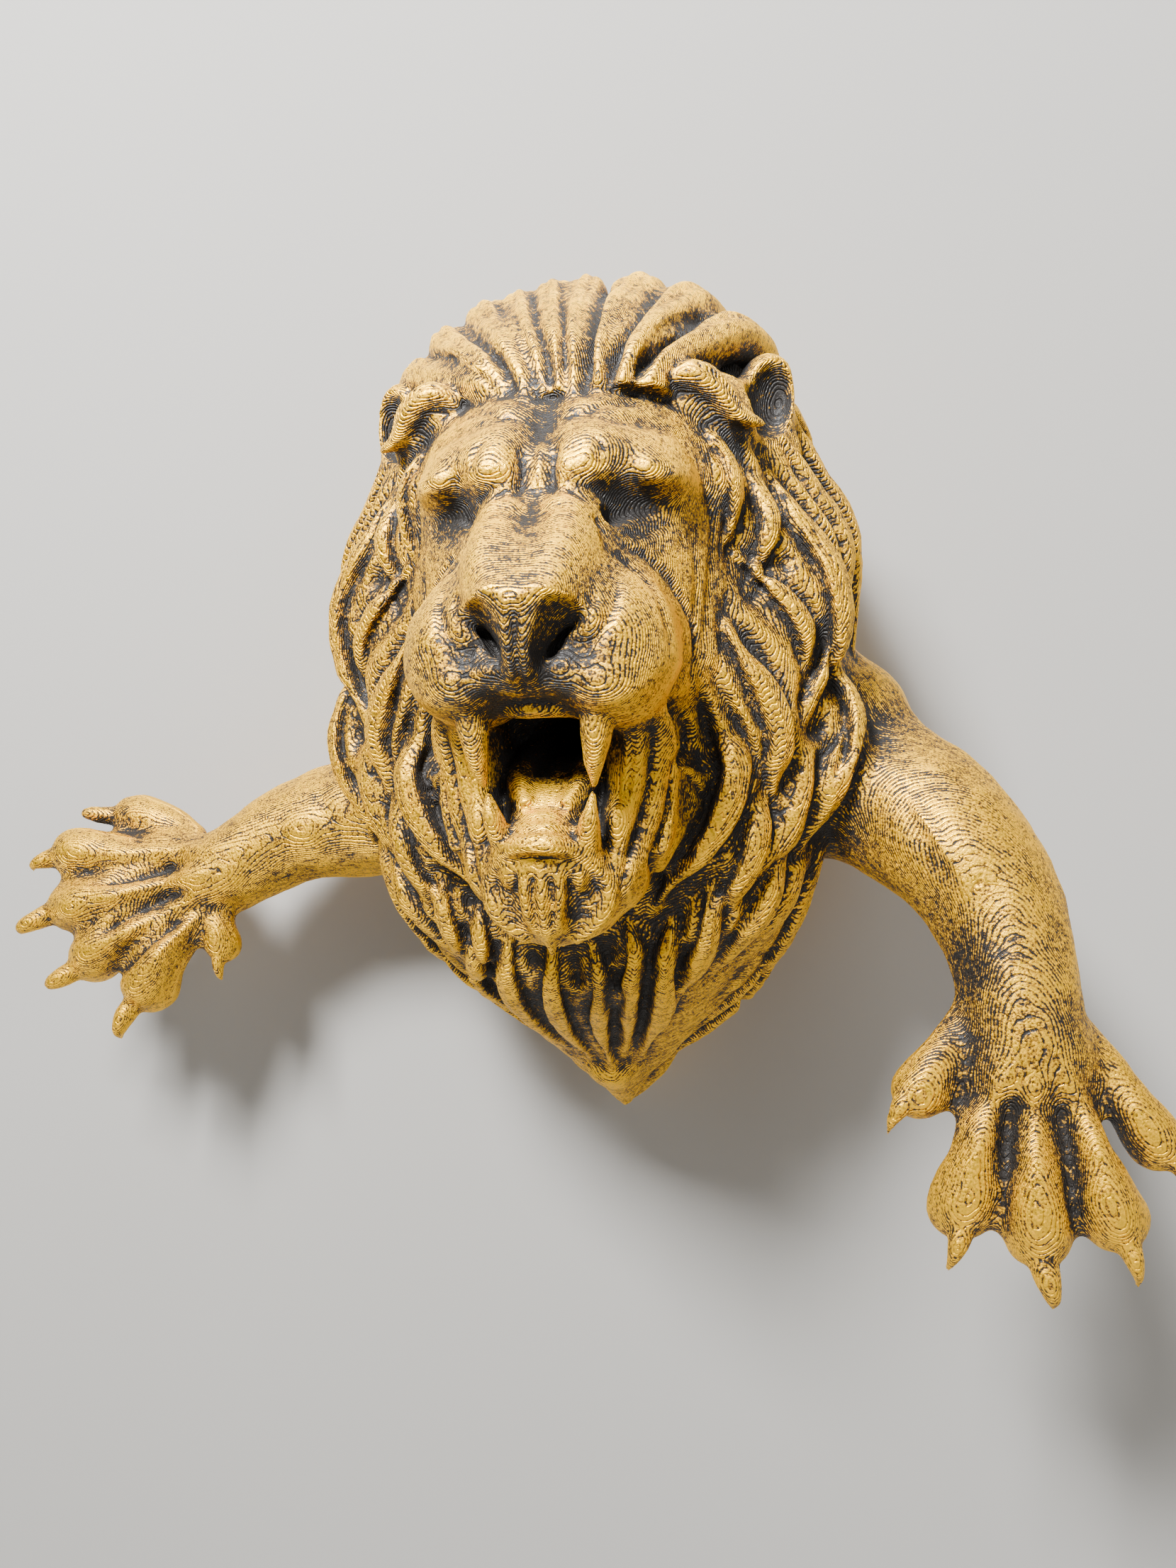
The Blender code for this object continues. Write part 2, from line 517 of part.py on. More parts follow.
def painted(name):
    """Gold paint brushed over black plastic."""
    material = bpy.data.materials.new(name)
    material.use_nodes = True
    shader = material.node_tree.nodes["Principled BSDF"]
    shader.inputs["Base Color"].default_value = PAINT
    shader.inputs["Roughness"].default_value = PAINT_ROUGHNESS
    shader.inputs["Metallic"].default_value = PAINT_METALLIC
    return material


def main():
    """Builds the lion as one object on its wall plane."""
    for old in list(bpy.data.objects):
        bpy.data.objects.remove(old)
    lion = bpy.data.objects.new("lion", lion_mesh())
    lion.data.materials.clear()
    lion.data.materials.append(painted("gold_over_black"))
    lion.data.shade_smooth()
    bpy.context.scene.collection.objects.link(lion)


main()
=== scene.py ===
"""The looks of a roaring lion wall sculpture: a desktop print in gold paint over black.

The lion's form is worked like clay. Masses are fused, features are added and hollows
cut, locks are laid over the skin, and a modelling tool then presses and raises the skin
along drawn strokes. A place is (across, forward, up) in shares of the lion's height.
"""
import logging
import math
from collections.abc import Sequence
from dataclasses import dataclass, field
from enum import Enum

import bmesh
import bpy
import numpy as np
from mathutils import Euler, Matrix, Vector
from mathutils.bvhtree import BVHTree


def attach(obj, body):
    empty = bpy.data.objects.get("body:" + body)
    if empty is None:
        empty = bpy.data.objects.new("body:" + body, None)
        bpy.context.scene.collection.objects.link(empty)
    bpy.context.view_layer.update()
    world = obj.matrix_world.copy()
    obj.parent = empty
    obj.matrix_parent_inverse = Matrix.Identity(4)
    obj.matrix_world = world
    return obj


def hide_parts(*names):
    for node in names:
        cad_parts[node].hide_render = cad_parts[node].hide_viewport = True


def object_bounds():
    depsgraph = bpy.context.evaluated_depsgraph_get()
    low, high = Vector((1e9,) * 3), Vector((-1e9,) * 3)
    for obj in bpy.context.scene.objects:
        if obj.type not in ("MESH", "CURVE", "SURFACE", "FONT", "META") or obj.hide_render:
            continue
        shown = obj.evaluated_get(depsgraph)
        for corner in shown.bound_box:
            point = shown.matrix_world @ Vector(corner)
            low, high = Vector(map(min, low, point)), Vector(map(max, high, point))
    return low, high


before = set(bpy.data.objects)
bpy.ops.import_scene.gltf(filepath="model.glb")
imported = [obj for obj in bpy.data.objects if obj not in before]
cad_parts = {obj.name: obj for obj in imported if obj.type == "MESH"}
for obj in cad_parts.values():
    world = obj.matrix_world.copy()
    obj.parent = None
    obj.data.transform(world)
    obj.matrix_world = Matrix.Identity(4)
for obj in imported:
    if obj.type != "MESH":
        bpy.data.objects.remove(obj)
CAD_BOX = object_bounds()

log = logging.getLogger("lion")

Place = tuple[float, float, float]
Stop = tuple[float, float, float, float]
Spot = tuple[float, float]

NODE = "lion"
BODY = "root"

# the frame's height holds this many shares, so one share is close to a millimetre
SHARES_HIGH = 205.7
SHARE = (CAD_BOX[1].z - CAD_BOX[0].z) / SHARES_HIGH
MILLIMETRE = 0.001


def at(across: float, forward: float, up: float) -> Vector:
    """Gives a place on the lion in metres from shares right, off the wall and up."""
    return Vector((across, -forward, up)) * SHARE


def sides(both: bool) -> tuple[int, ...]:
    """Gives the signs of across for a feature that is on one side or on both."""
    return (1, -1) if both else (1,)


def linear(hex_colour: str) -> tuple[float, float, float, float]:
    """Turns an sRGB colour into the linear one that a shader takes.

    Args:
        hex_colour: Six hex digits, such as "D9A95B".

    Returns:
        Red, green, blue and an alpha of one.
    """
    channels = [int(hex_colour[start : start + 2], 16) / 255 for start in (0, 2, 4)]
    red, green, blue = (
        c / 12.92 if c <= 0.04045 else ((c + 0.055) / 1.055) ** 2.4 for c in channels
    )
    return red, green, blue, 1.0


def evaluated(shape: bpy.types.Object) -> bpy.types.Mesh:
    """Gives the mesh of an object with its modifiers applied, and removes the object."""
    bpy.context.scene.collection.objects.link(shape)
    depsgraph = bpy.context.evaluated_depsgraph_get()
    mesh = bpy.data.meshes.new_from_object(shape.evaluated_get(depsgraph))
    bpy.data.objects.remove(shape)
    return mesh


def mesh_of(shape: bmesh.types.BMesh, name: str) -> bpy.types.Mesh:
    """Gives a shape as a mesh of its own, and frees the shape."""
    mesh = bpy.data.meshes.new(name)
    shape.to_mesh(mesh)
    shape.free()
    return mesh


def in_scene(name: str, data: bpy.types.ID) -> bpy.types.Object:
    """Makes an object and puts it in the scene."""
    made = bpy.data.objects.new(name, data)
    bpy.context.scene.collection.objects.link(made)
    return made


def modified(mesh: bpy.types.Mesh, *steps: tuple[str, dict]) -> bpy.types.Mesh:
    """Runs modifiers over a mesh.

    Args:
        mesh: The mesh to start from.
        steps: The type and the settings of each modifier.

    Returns:
        The finished mesh.
    """
    shape = bpy.data.objects.new("shape", mesh)
    for kind, settings in steps:
        modifier = shape.modifiers.new(kind, kind)
        for name, value in settings.items():
            setattr(modifier, name, value)
    return evaluated(shape)


def surface_tree(mesh: bpy.types.Mesh) -> BVHTree:
    """Gives a tree that finds the nearest place on a mesh."""
    surface = bmesh.new()
    surface.from_mesh(mesh)
    tree = BVHTree.FromBMesh(surface)
    surface.free()
    return tree


def through(stops: np.ndarray, step: float) -> np.ndarray:
    """Runs a smooth curve through stops.

    Args:
        stops: One row for each stop.
        step: The spacing of the points wanted, in the same unit.

    Returns:
        One row for each point, from the first stop to the last.
    """
    ends = np.vstack([2 * stops[0] - stops[1], stops, 2 * stops[-1] - stops[-2]])
    points = []
    for a, b, c, d in zip(ends, ends[1:], ends[2:], ends[3:]):
        count = max(int(np.linalg.norm(c - b) / step), 1)
        for part in np.arange(count) / count:
            bend = (2 * a - 5 * b + 4 * c - d) * part**2 + (3 * b - a - 3 * c + d) * part**3
            points.append(b + 0.5 * ((c - a) * part + bend))
    points.append(stops[-1])
    return np.array(points)


class Clay:
    """Loose closed lumps and strands that are then fused into one skin."""

    def __init__(self, skin: bpy.types.Mesh | None = None) -> None:
        """Starts empty or from a skin that was fused before."""
        self.lumps = bmesh.new()
        if skin:
            self.lumps.from_mesh(skin)
        self.strands = bpy.data.curves.new("strands", "CURVE")
        self.strands.dimensions = "3D"
        self.strands.bevel_depth = 1.0
        self.strands.bevel_resolution = 4
        self.strands.use_fill_caps = True

    def ball(self, place: Place, radii: Place, turn: Place = (0, 0, 0), both: bool = False) -> None:
        """Adds an egg.

        Args:
            place: Its centre.
            radii: Its three radii in shares.
            turn: Its turn about each axis in degrees.
            both: True to add its mirror image too.
        """
        for side in sides(both):
            centre = at(side * place[0], place[1], place[2])
            angles = Euler(math.radians(a) for a in (turn[0], side * turn[1], side * turn[2]))
            shape = Matrix.LocRotScale(centre, angles, Vector(radii) * SHARE)
            bmesh.ops.create_icosphere(self.lumps, subdivisions=4, radius=1.0, matrix=shape)

    def strand(self, *route: Stop, both: bool = False) -> None:
        """Adds a round strand through the stops of a route, each with its radius."""
        for side in sides(both):
            places = [at(side * across, forward, up) for across, forward, up, _ in route]
            self.tube(places, [radius for *_, radius in route])

    def tube(self, places: Sequence[Vector], radii: Sequence[float], round_end: bool = False) -> None:
        """Adds a round strand.

        Args:
            places: The places it runs through, in metres.
            radii: Its radius at each, in shares.
            round_end: True to close its far end with a ball.
        """
        spline = self.strands.splines.new("BEZIER")
        spline.bezier_points.add(len(places) - 1)
        spline.resolution_u = 8
        spline.radius_interpolation = "BSPLINE"
        for point, place, radius in zip(spline.bezier_points, places, radii):
            point.co = place
            point.radius = radius * SHARE
            point.handle_left_type = "AUTO"
            point.handle_right_type = "AUTO"
        if round_end:
            shape = Matrix.Translation(places[-1]) @ Matrix.Scale(radii[-1] * SHARE, 4)
            bmesh.ops.create_icosphere(self.lumps, subdivisions=3, radius=1.0, matrix=shape)

    def fused(self, grain: float, smoothing: int, closing: float = 0.0) -> bpy.types.Mesh:
        """Fuses everything into one closed skin.

        Args:
            grain: The cell size in shares.
            smoothing: The number of smoothing passes.
            closing: Half the width of the gaps that are filled, in shares.

        Returns:
            The skin.
        """
        if self.strands.splines:
            tube = bpy.data.objects.new("strands", self.strands)
            self.lumps.from_mesh(evaluated(tube))
        mesh = mesh_of(self.lumps, "lumps")
        remesh = ("REMESH", {"mode": "VOXEL", "voxel_size": grain * SHARE})
        steps = [remesh]
        for way in (1, -1) if closing else ():
            steps += [("DISPLACE", {"strength": way * closing * SHARE, "mid_level": 0.0}), remesh]
        smooth = ("SMOOTH", {"factor": 0.5, "iterations": smoothing})
        return modified(mesh, *steps, smooth)


@dataclass(frozen=True)
class Stroke:
    """One pass of the modelling tool, drawn in front view and laid on the skin.

    Attributes:
        lift: How far it raises the skin in shares, or presses it in where negative.
        width: The half width over which its effect fades, in shares.
        route: Spots across and up.
        both: True where the other side of the face has its mirror image.
    """

    lift: float
    width: float
    route: tuple[Spot, ...]
    both: bool = True


class Skin:
    """The fused figure as arrays, for strokes of the tool and for paint."""

    STROKE_STEP = 0.4
    STROKE_REACH = 2.4
    STROKE_FADE = 4.0
    STROKE_END = 0.1
    FRONT = 140.0
    DEEPEST_STEP = 4.0

    def __init__(self, mesh: bpy.types.Mesh) -> None:
        """Reads the mesh, whose vertices it then moves."""
        self.mesh = mesh
        self.tree = surface_tree(mesh)
        self.places = np.empty(len(mesh.vertices) * 3, np.float32)
        mesh.vertices.foreach_get("co", self.places)
        self.places = self.places.reshape(-1, 3)
        self.outward = np.empty(len(mesh.vertices) * 3, np.float32)
        mesh.vertices.foreach_get("normal", self.outward)
        self.outward = self.outward.reshape(-1, 3)
        self.moves = np.zeros(len(mesh.vertices), np.float32)

    def laid(self, route: Sequence[Spot], side: int) -> np.ndarray:
        """Lays a front-view route on the skin.

        Args:
            route: Spots across and up, in shares.
            side: -1 for the mirror image.

        Returns:
            Points on the skin in metres.
        """
        points = []
        last = None
        for across, up in through(np.array(route, float), self.STROKE_STEP):
            start = at(side * across, self.FRONT, up)
            hit = self.tree.ray_cast(start, Vector((0, 1, 0)))[0]
            if hit is None:
                continue
            if last is not None and abs(hit.y - last.y) > self.DEEPEST_STEP * SHARE:
                continue
            points.append(hit)
            last = hit
        return np.array(points)

    def press(self, points: np.ndarray, lift: float, width: float) -> None:
        """Moves the skin along a line of points.

        Args:
            points: Points on the skin in metres.
            lift: How far it is raised in shares, or pressed in where negative.
            width: The half width of the tool in shares.
        """
        if len(points) < 2:
            return
        reach = self.STROKE_REACH * width * SHARE
        near = np.all(
            (self.places > points.min(0) - reach) & (self.places < points.max(0) + reach), axis=1
        )
        chosen = np.flatnonzero(near)
        if not len(chosen):
            return
        along = np.linspace(0, 1, len(points))
        off_end = np.minimum(along, 1 - along)
        weight = np.minimum(1.0, self.STROKE_FADE * off_end + self.STROKE_END)
        strongest = np.zeros(len(chosen), np.float32)
        for point, share_left in zip(points, weight):
            apart = np.sum((self.places[chosen] - point) ** 2, axis=1)
            effect = share_left * np.exp(-apart / (width * SHARE) ** 2)
            np.maximum(strongest, effect, out=strongest)
        self.moves[chosen] += lift * strongest

    def draw(self, strokes: Sequence[Stroke]) -> None:
        """Makes each stroke, on both sides where it asks for that."""
        for stroke in strokes:
            for side in sides(stroke.both):
                self.press(self.laid(stroke.route, side), stroke.lift, stroke.width)

    def settle(self) -> None:
        """Moves the vertices by all that was pressed and raised."""
        self.places += self.outward * (self.moves * SHARE)[:, None]
        self.mesh.vertices.foreach_set("co", self.places.ravel())
        self.mesh.update()
        self.moves[:] = 0


@dataclass
class Body:
    """The large forms: mane, skull, shoulders, forelegs and palms."""

    grain: float = 2.0
    smoothing: int = 14
    behind_wall: float = -8.0
    ring_points: int = 48
    squareness: float = 0.9
    rounding_error: float = 1e-6
    # cross-sections of the mane: height, half width, depth in the middle and at the sides
    sections: tuple[Stop, ...] = (
        (-99, 1.5, 13, 8), (-92, 8, 24, 16), (-84, 15, 35, 26), (-74, 23, 47, 35),
        (-64, 30, 58, 42), (-50, 39, 69, 47), (-36, 47, 74, 50), (-18, 53, 75, 52),
        (0, 55, 76, 53), (18, 54, 77, 54), (34, 50, 78, 54), (48, 44, 76, 53),
        (60, 37, 70, 50), (70, 30, 60, 45), (78, 21, 50, 39), (83, 12, 44, 36),
        (85, 2, 40, 34),
    )
    right_arm: tuple[Stop, ...] = (
        (42, 36, -14, 19), (60, 44, -21, 17.5), (74, 54, -31, 16),
        (83, 59, -44, 13.3), (86, 63, -56, 12), (87.5, 66, -70, 12),
    )
    left_arm: tuple[Stop, ...] = (
        (-45, 26, -22, 18), (-66, 24, -28, 16.5), (-80, 26, -31, 14),
        (-91, 28, -36, 12.5), (-102, 30, -43, 11.5), (-109, 31, -46, 10),
    )

    def mane_core(self) -> bpy.types.Mesh:
        """Joins D-shaped sections from the beard to the crown."""
        core = bmesh.new()
        edges = set()
        for up, half, front, side in self.sections:
            ring = bmesh.ops.create_circle(core, segments=self.ring_points, radius=1.0)["verts"]
            for vert in ring:
                rise = max(vert.co.y, 0.0) ** self.squareness
                across = math.copysign(abs(vert.co.x) ** self.squareness, vert.co.x) * half
                in_front = vert.co.y > -self.rounding_error
                forward = side + (front - side) * rise if in_front else self.behind_wall
                vert.co = at(across, forward, up)
            edges |= {edge for vert in ring for edge in vert.link_edges}
        bmesh.ops.bridge_loops(core, edges=list(edges))
        bmesh.ops.holes_fill(core, edges=core.edges, sides=self.ring_points)
        bmesh.ops.recalc_face_normals(core, faces=core.faces)
        return mesh_of(core, "mane_core")

    def fused(self) -> bpy.types.Mesh:
        """Fuses the large forms."""
        clay = Clay(self.mane_core())
        clay.ball((0, 66, 40), (28, 26, 19))
        clay.ball((27, 71, 52), (12.5, 10, 10), both=True)
        clay.ball((0, 60, 14), (29, 30, 30))
        clay.ball((23, 70, 24), (7, 15, 18), both=True)
        clay.ball((2, 66, 62), (27, 14.5, 18))
        clay.ball((47, 46, -8), (16, 14, 20))
        clay.ball((51, 42, -7.5), (18, 16, 16.5))
        clay.strand((0, 32, -84, 8), (0, 22, -92, 5), (0, 14, -99.6, 2.4))
        clay.strand(*self.right_arm)
        clay.ball((88, 67.4, -75.5), (14.2, 8.4, 13), (8, 0, 6))
        clay.ball((88.5, 61, -82), (12.5, 4.5, 8.5), (4, 0, 0))
        clay.strand(*self.left_arm)
        clay.ball((-75, 30, -31), (10, 11, 10))
        clay.ball((-110, 31, -47), (12, 7.5, 11.5))
        clay.ball((-119, 30, -46), (17, 7.4, 15), (0, -12, 0))
        clay.ball((-126, 26, -49), (17, 5, 18), (0, -20, 0))
        return clay.fused(self.grain, self.smoothing)


@dataclass
class Face:
    """Brows, eyes, nose, muzzle, jaws, fangs, tongue, chin and ears."""

    back: float = 54
    rounding: int = 2
    hollow_grain: float = 0.8
    hollow_smoothing: int = 1
    # how far the upper face stands off the wall, in columns across and rows up; the
    # columns are mirrored on the other side of the nose
    columns: tuple[float, ...] = (0, 3, 6.5, 10, 12.5, 16, 20, 24, 26.5, 30, 35)
    rows: tuple[tuple[float, tuple[float, ...]], ...] = (
        (57, (84, 85, 86, 85, 83.5, 81, 78, 74, 69, 64, 56)),
        (50, (88, 91, 92.5, 92, 90.5, 88, 85.5, 82, 78, 72, 64)),
        (45, (90.5, 94, 96.2, 96.2, 95, 92.8, 90.8, 87.5, 83, 76, 68)),
        (41, (93, 96.6, 98.6, 98.8, 98, 95.6, 94.6, 91.6, 86, 78, 70)),
        (38, (95.4, 97.6, 99, 99, 98.2, 95.4, 95.8, 93, 87, 78.5, 70.5)),
        (35, (96.4, 97.4, 98.2, 97.6, 96.6, 94, 94.8, 92, 86.5, 78.5, 71)),
        (32.5, (96.8, 97.8, 98.8, 95.6, 92.2, 90.2, 89.6, 88.2, 85, 78.5, 71)),
        (30, (97.8, 100.4, 102.4, 99.6, 94, 90.4, 89.2, 87.6, 84.5, 78.5, 71.5)),
        (27, (100.4, 102.8, 104.6, 103, 97.4, 92.6, 90.4, 88, 84.5, 79, 72)),
        (23, (105.2, 106.4, 107, 106.4, 101.4, 95, 91.4, 88.2, 84.6, 79.5, 72)),
        (19, (108.8, 109.4, 109.4, 108.6, 103.2, 96.6, 92, 88, 84.5, 79.5, 72.5)),
        (15, (111.6, 112, 111.8, 110.2, 103.6, 97, 92, 88, 84.5, 79.5, 72.5)),
        (12.6, (114, 114.4, 113.6, 110.8, 103, 97, 92, 88, 84.5, 80, 73)),
        (10.4, (114.8, 113.6, 110, 106, 101, 97, 92, 88, 84, 80, 73)),
        (6, (111.5, 109.6, 104, 101, 100, 97, 92, 87.5, 84, 80, 73)),
        (2, (109.5, 108, 104, 101, 99, 96, 91, 87, 83.5, 79.5, 72)),
        (-2, (107.6, 107, 105, 102, 99, 95, 90, 86, 83, 78, 70)),
        (-5, (105.6, 105.2, 104, 101, 97, 92, 87, 83, 79, 74, 66)),
    )

    def upper_face(self) -> bpy.types.Mesh:
        """Rounds the grid of rows and columns and makes it a solid block."""
        places = []
        for up, forward in self.rows:
            row = list(zip(self.columns, forward))
            left_side = [(-across, depth) for across, depth in reversed(row[1:])]
            places += [at(across, depth, up) for across, depth in left_side + row]
        sheet = bmesh.new()
        across_count = 2 * len(self.columns) - 2
        bmesh.ops.create_grid(
            sheet, x_segments=across_count, y_segments=len(self.rows) - 1, size=1.0
        )
        sheet.verts.ensure_lookup_table()
        for vert, place in zip(sheet.verts, places):
            vert.co = place
        rounding = {"levels": self.rounding, "render_levels": self.rounding}
        block = bmesh.new()
        block.from_mesh(modified(mesh_of(sheet, "upper_face"), ("SUBSURF", rounding)))
        grown = bmesh.ops.extrude_face_region(block, geom=block.faces[:], use_keep_orig=True)
        for item in grown["geom"]:
            if isinstance(item, bmesh.types.BMVert):
                item.co.y = -self.back * SHARE
        bmesh.ops.recalc_face_normals(block, faces=block.faces)
        return mesh_of(block, "upper_face")

    def add(self, clay: Clay) -> None:
        """Adds brows, nose, muzzle, cheeks, jaws and ears."""
        clay.lumps.from_mesh(self.upper_face())
        # inner brows, the block beside each and the humps at the top of the nose
        clay.ball((9.4, 89.6, 38.4), (8.2, 9.4, 5.6), (0, -8, -6), both=True)
        clay.ball((20.6, 86.6, 37.4), (6.4, 9.2, 5.2), (0, 8, -22), both=True)
        clay.ball((6.8, 95.4, 26.6), (5.4, 7.6, 5.4), (0, -16, 0), both=True)
        # septum, wings of the nose and whisker pads
        clay.strand((2.2, 111, 9.5, 1.9), (1.5, 110.4, 4, 1.4), (1.2, 107.6, -2, 1.6), both=True)
        clay.strand((11.8, 101.4, 13.6, 2.6), (11.4, 104.2, 9.6, 2.1), (9.4, 105.2, 5.4, 1.6), both=True)
        clay.ball((10.4, 90, 7.5), (14.4, 16.6, 14.6), both=True)
        clay.ball((14.3, 94.2, 4.4), (11.8, 12.6, 13.8), both=True)
        clay.ball((13.2, 93.6, -1.6), (10.8, 13.4, 8.2), both=True)
        clay.ball((6.4, 96.5, 0), (6.6, 11.2, 6.0), both=True)
        # flesh round the mouth, with a rim from the upper lip to the lower jaw
        clay.ball((17.4, 74, -19), (7.8, 12.4, 20), both=True)
        clay.ball((14.2, 80, -19), (4.6, 10.5, 15), both=True)
        clay.ball((13.4, 84, -27), (4.0, 7.6, 8), both=True)
        for number in range(4):
            across = 14.4 + 2.5 * number
            clay.strand((across + 0.6, 93.6 - 1.3 * number, -7, 1.3),
                        (across + 1.4, 90.4 - 1.6 * number, -15, 1.4),
                        (across + 0.4, 88.6 - 1.5 * number, -25, 1.4),
                        (across - 1.6, 88.4 - 1.6 * number, -34, 1.5), both=True)
        clay.ball((13.4, 82, -35.5), (5.4, 8.6, 9.0), (0, 12, 0), both=True)
        clay.ball((0, 82, -39.4), (14.4, 11, 12))
        clay.ball((0, 85.4, -35), (12.6, 9.8, 6.4))
        # ears
        clay.ball((24, 76.5, 54), (7, 6, 5.5), both=True)
        clay.strand((30, 70, 44, 5), (35, 66, 52, 6), (37.5, 64, 60, 5), both=True)
        clay.ball((38, 64.5, 56), (6.8, 6, 11), (0, 8, -25), both=True)

    def hollows(self) -> bpy.types.Mesh:
        """Makes the cutter for mouth, nostrils, eyes, ear cups and the deepest grooves."""
        clay = Clay()
        clay.ball((0, 92, -17.5), (10.6, 22, 10.4))
        clay.ball((0, 76, -15), (9.4, 20, 8.5))
        clay.strand((14.2, 98, -9, 0.7), (13.8, 95.4, -16, 1.1), (12.4, 94.4, -24, 0.7), both=True)
        # each nostril slants in and down from under the wing to beside the septum
        clay.strand((10.2, 106.5, 8.8, 0.9), (7.8, 107.2, 7, 1.7), (5.2, 107.8, 3.8, 1.8),
                    (3.3, 108.2, -0.8, 0.8), both=True)
        clay.strand((8.6, 103.6, 7.4, 1.1), (6.2, 104, 4.6, 1.6), (4.4, 105, 1.6, 1.0), both=True)
        clay.strand((0, 113.8, 9, 0.6), (0, 112.4, 4, 0.6), (0, 110, 0, 0.6), (0, 108, -7, 0.8))
        # eyes: slanting hollows under the brows
        clay.strand((11.6, 95.8, 28, 1.8), (14.2, 94, 29, 2.3), (18, 92, 30.8, 1.7),
                    (23.6, 89.4, 32, 0.8), both=True)
        clay.ball((40, 70.5, 56.5), (4.6, 6.4, 8.6), (0, 8, -25), both=True)
        # pits in the chin, and grooves between and over the brows and beside the nose
        clay.strand((6.2, 92.4, -38.6, 1.0), (6.9, 92, -42.6, 2.2), (5.6, 91, -46.6, 1.5), both=True)
        clay.strand((15.8, 99.4, 43.6, 0.8), (16, 98.6, 38, 1.4), (15.2, 97, 33, 1.3), both=True)
        clay.strand((17, 98.6, 43.4, 0.8), (22, 95.4, 43, 1.2), (27, 89.6, 40, 0.9), both=True)
        clay.strand((0, 91.6, 50, 0.9), (0, 95.6, 44, 1.9), (0, 98, 38, 1.2), (0, 99.6, 31, 1.4))
        clay.strand((12.8, 106, 10, 0.9), (13.8, 106, 14, 1.7), (14.2, 103.6, 19, 1.8),
                    (13.4, 100, 24, 1.5), (11, 98.8, 28, 1.1), both=True)
        return clay.fused(self.hollow_grain, self.hollow_smoothing)

    def fill_mouth(self, clay: Clay) -> None:
        """Adds fangs, palate, lips, tongue and the ridged tuft on the chin."""
        clay.strand((11.8, 97, -2, 3.6), (11.6, 99.4, -8, 3.3), (11.1, 98.6, -14, 2.4),
                    (10.3, 96, -21, 0.5), both=True)
        clay.strand((8.2, 90.5, -32, 2.4), (8.8, 93.8, -28, 2.3), (9.5, 95, -24.5, 1.5),
                    (9.9, 95, -21, 0.5), both=True)
        self.arch(clay, 9.5, (100, 0.072), (-6.4, -0.006), 2.0)
        self.arch(clay, 13, (96, 0.06), (-30.8, 0.027), 1.9)
        self.arch(clay, 9.4, (94.4, 0.07), (-28, 0.02), 1.3)
        self.arch(clay, 8, (92.4, 0.08), (-26, 0.015), 1.2)
        clay.ball((0, 76, -22), (12.6, 16, 7.8), (16, 0, 0))
        clay.strand((5.6, 64, -11, 3.4), (6.4, 77, -15, 3.4), (6, 86, -20, 3.1),
                    (3.4, 90.4, -24.6, 2.2), both=True)
        for root, tip, low in ((0, 0.4, -52.4), (3.2, 1.4, -50), (-3.2, -1, -50)):
            clay.strand((root * 0.7, 93.6, -33, 0.9), (root, 93.4, -38, 1.4),
                        (root * 0.8, 92, -44.6, 1.3), (tip, 87, low, 0.7))
        clay.strand((7.6, 92.6, -33, 1.2), (11.4, 89, -38.6, 2.2), (9.8, 88.4, -44.6, 2.2),
                    (4.4, 87.4, -49.8, 1.1), both=True)
        clay.strand((5.6, 93.4, -33, 0.9), (7, 92.6, -36.4, 1.3), (6.4, 91.6, -39.4, 0.7), both=True)

    @staticmethod
    def arch(clay: Clay, half: float, forward: Spot, up: Spot, radius: float) -> None:
        """Adds a strand across the mouth that falls back and down to both sides.

        Args:
            clay: The clay to add to.
            half: Its half width.
            forward: Its depth in the middle and how it falls with the square of across.
            up: Its height in the middle and how it falls.
            radius: Its radius.
        """
        stops = []
        for across in (-half, -half / 2, 0, half / 2, half):
            depth = forward[0] - forward[1] * across**2
            stops.append((across, depth, up[0] - up[1] * across**2, radius))
        clay.strand(*stops)


@dataclass
class Paw:
    """One paw: its toes and their hooked claws.

    Attributes:
        toes: For each toe the places of root, neck, knuckle and pad, its radius, and
            three places on its claw.
        toe_shape: The radius at each of the four places as a share of the toe's radius.
        claw_shape: The same for the claw, from the pad to the point.
    """

    toes: tuple[tuple, ...]
    toe_shape: tuple[float, ...] = (0.8, 0.66, 1.12, 1.06)
    claw_shape: tuple[float, ...] = (0.46, 0.44, 0.28, 0.07)

    def add_toes(self, clay: Clay) -> None:
        """Adds toes with a narrow neck, a round knuckle and a pad."""
        for *places, radius, _, _, _ in self.toes:
            radii = [radius * share for share in self.toe_shape]
            clay.tube([at(*place) for place in places], radii, True)

    def add_claws(self, clay: Clay) -> None:
        """Adds one claw to each toe."""
        for _, _, _, pad, radius, *claw in self.toes:
            radii = [radius * share for share in self.claw_shape]
            clay.tube([at(*place) for place in (pad, *claw)], radii, True)


RIGHT_PAW = Paw(toes=(
    ((79, 64, -63), (73.5, 68.5, -70), (69.5, 70, -76), (68, 70, -78.5), 5.3,
     (65.5, 73, -79.5), (63.3, 74, -82.5), (62, 72.5, -86.5)),
    ((81.5, 67, -75), (78.4, 73, -86), (76, 73, -95.5), (75, 71.5, -99.5), 5.7,
     (75, 75.5, -103), (73.8, 76, -107), (72.9, 73, -110.8)),
    ((87.5, 68, -76), (88, 74, -88), (88.2, 74.5, -98.5), (88.5, 73, -102.5), 5.9,
     (89.5, 77, -108), (90.6, 77, -112), (91.2, 74, -115.5)),
    ((93, 67, -76), (97.6, 73, -87), (101.2, 73, -96.5), (102.4, 71.5, -99.5), 5.7,
     (104, 75, -103), (105.3, 75.5, -107), (106, 72.5, -110.6)),
    ((96, 62, -66), (103, 66, -75), (109, 66.5, -84), (110.8, 65.5, -86.5), 5.4,
     (113, 68, -88.5), (114.8, 68.5, -92), (115.3, 65, -96)),
))
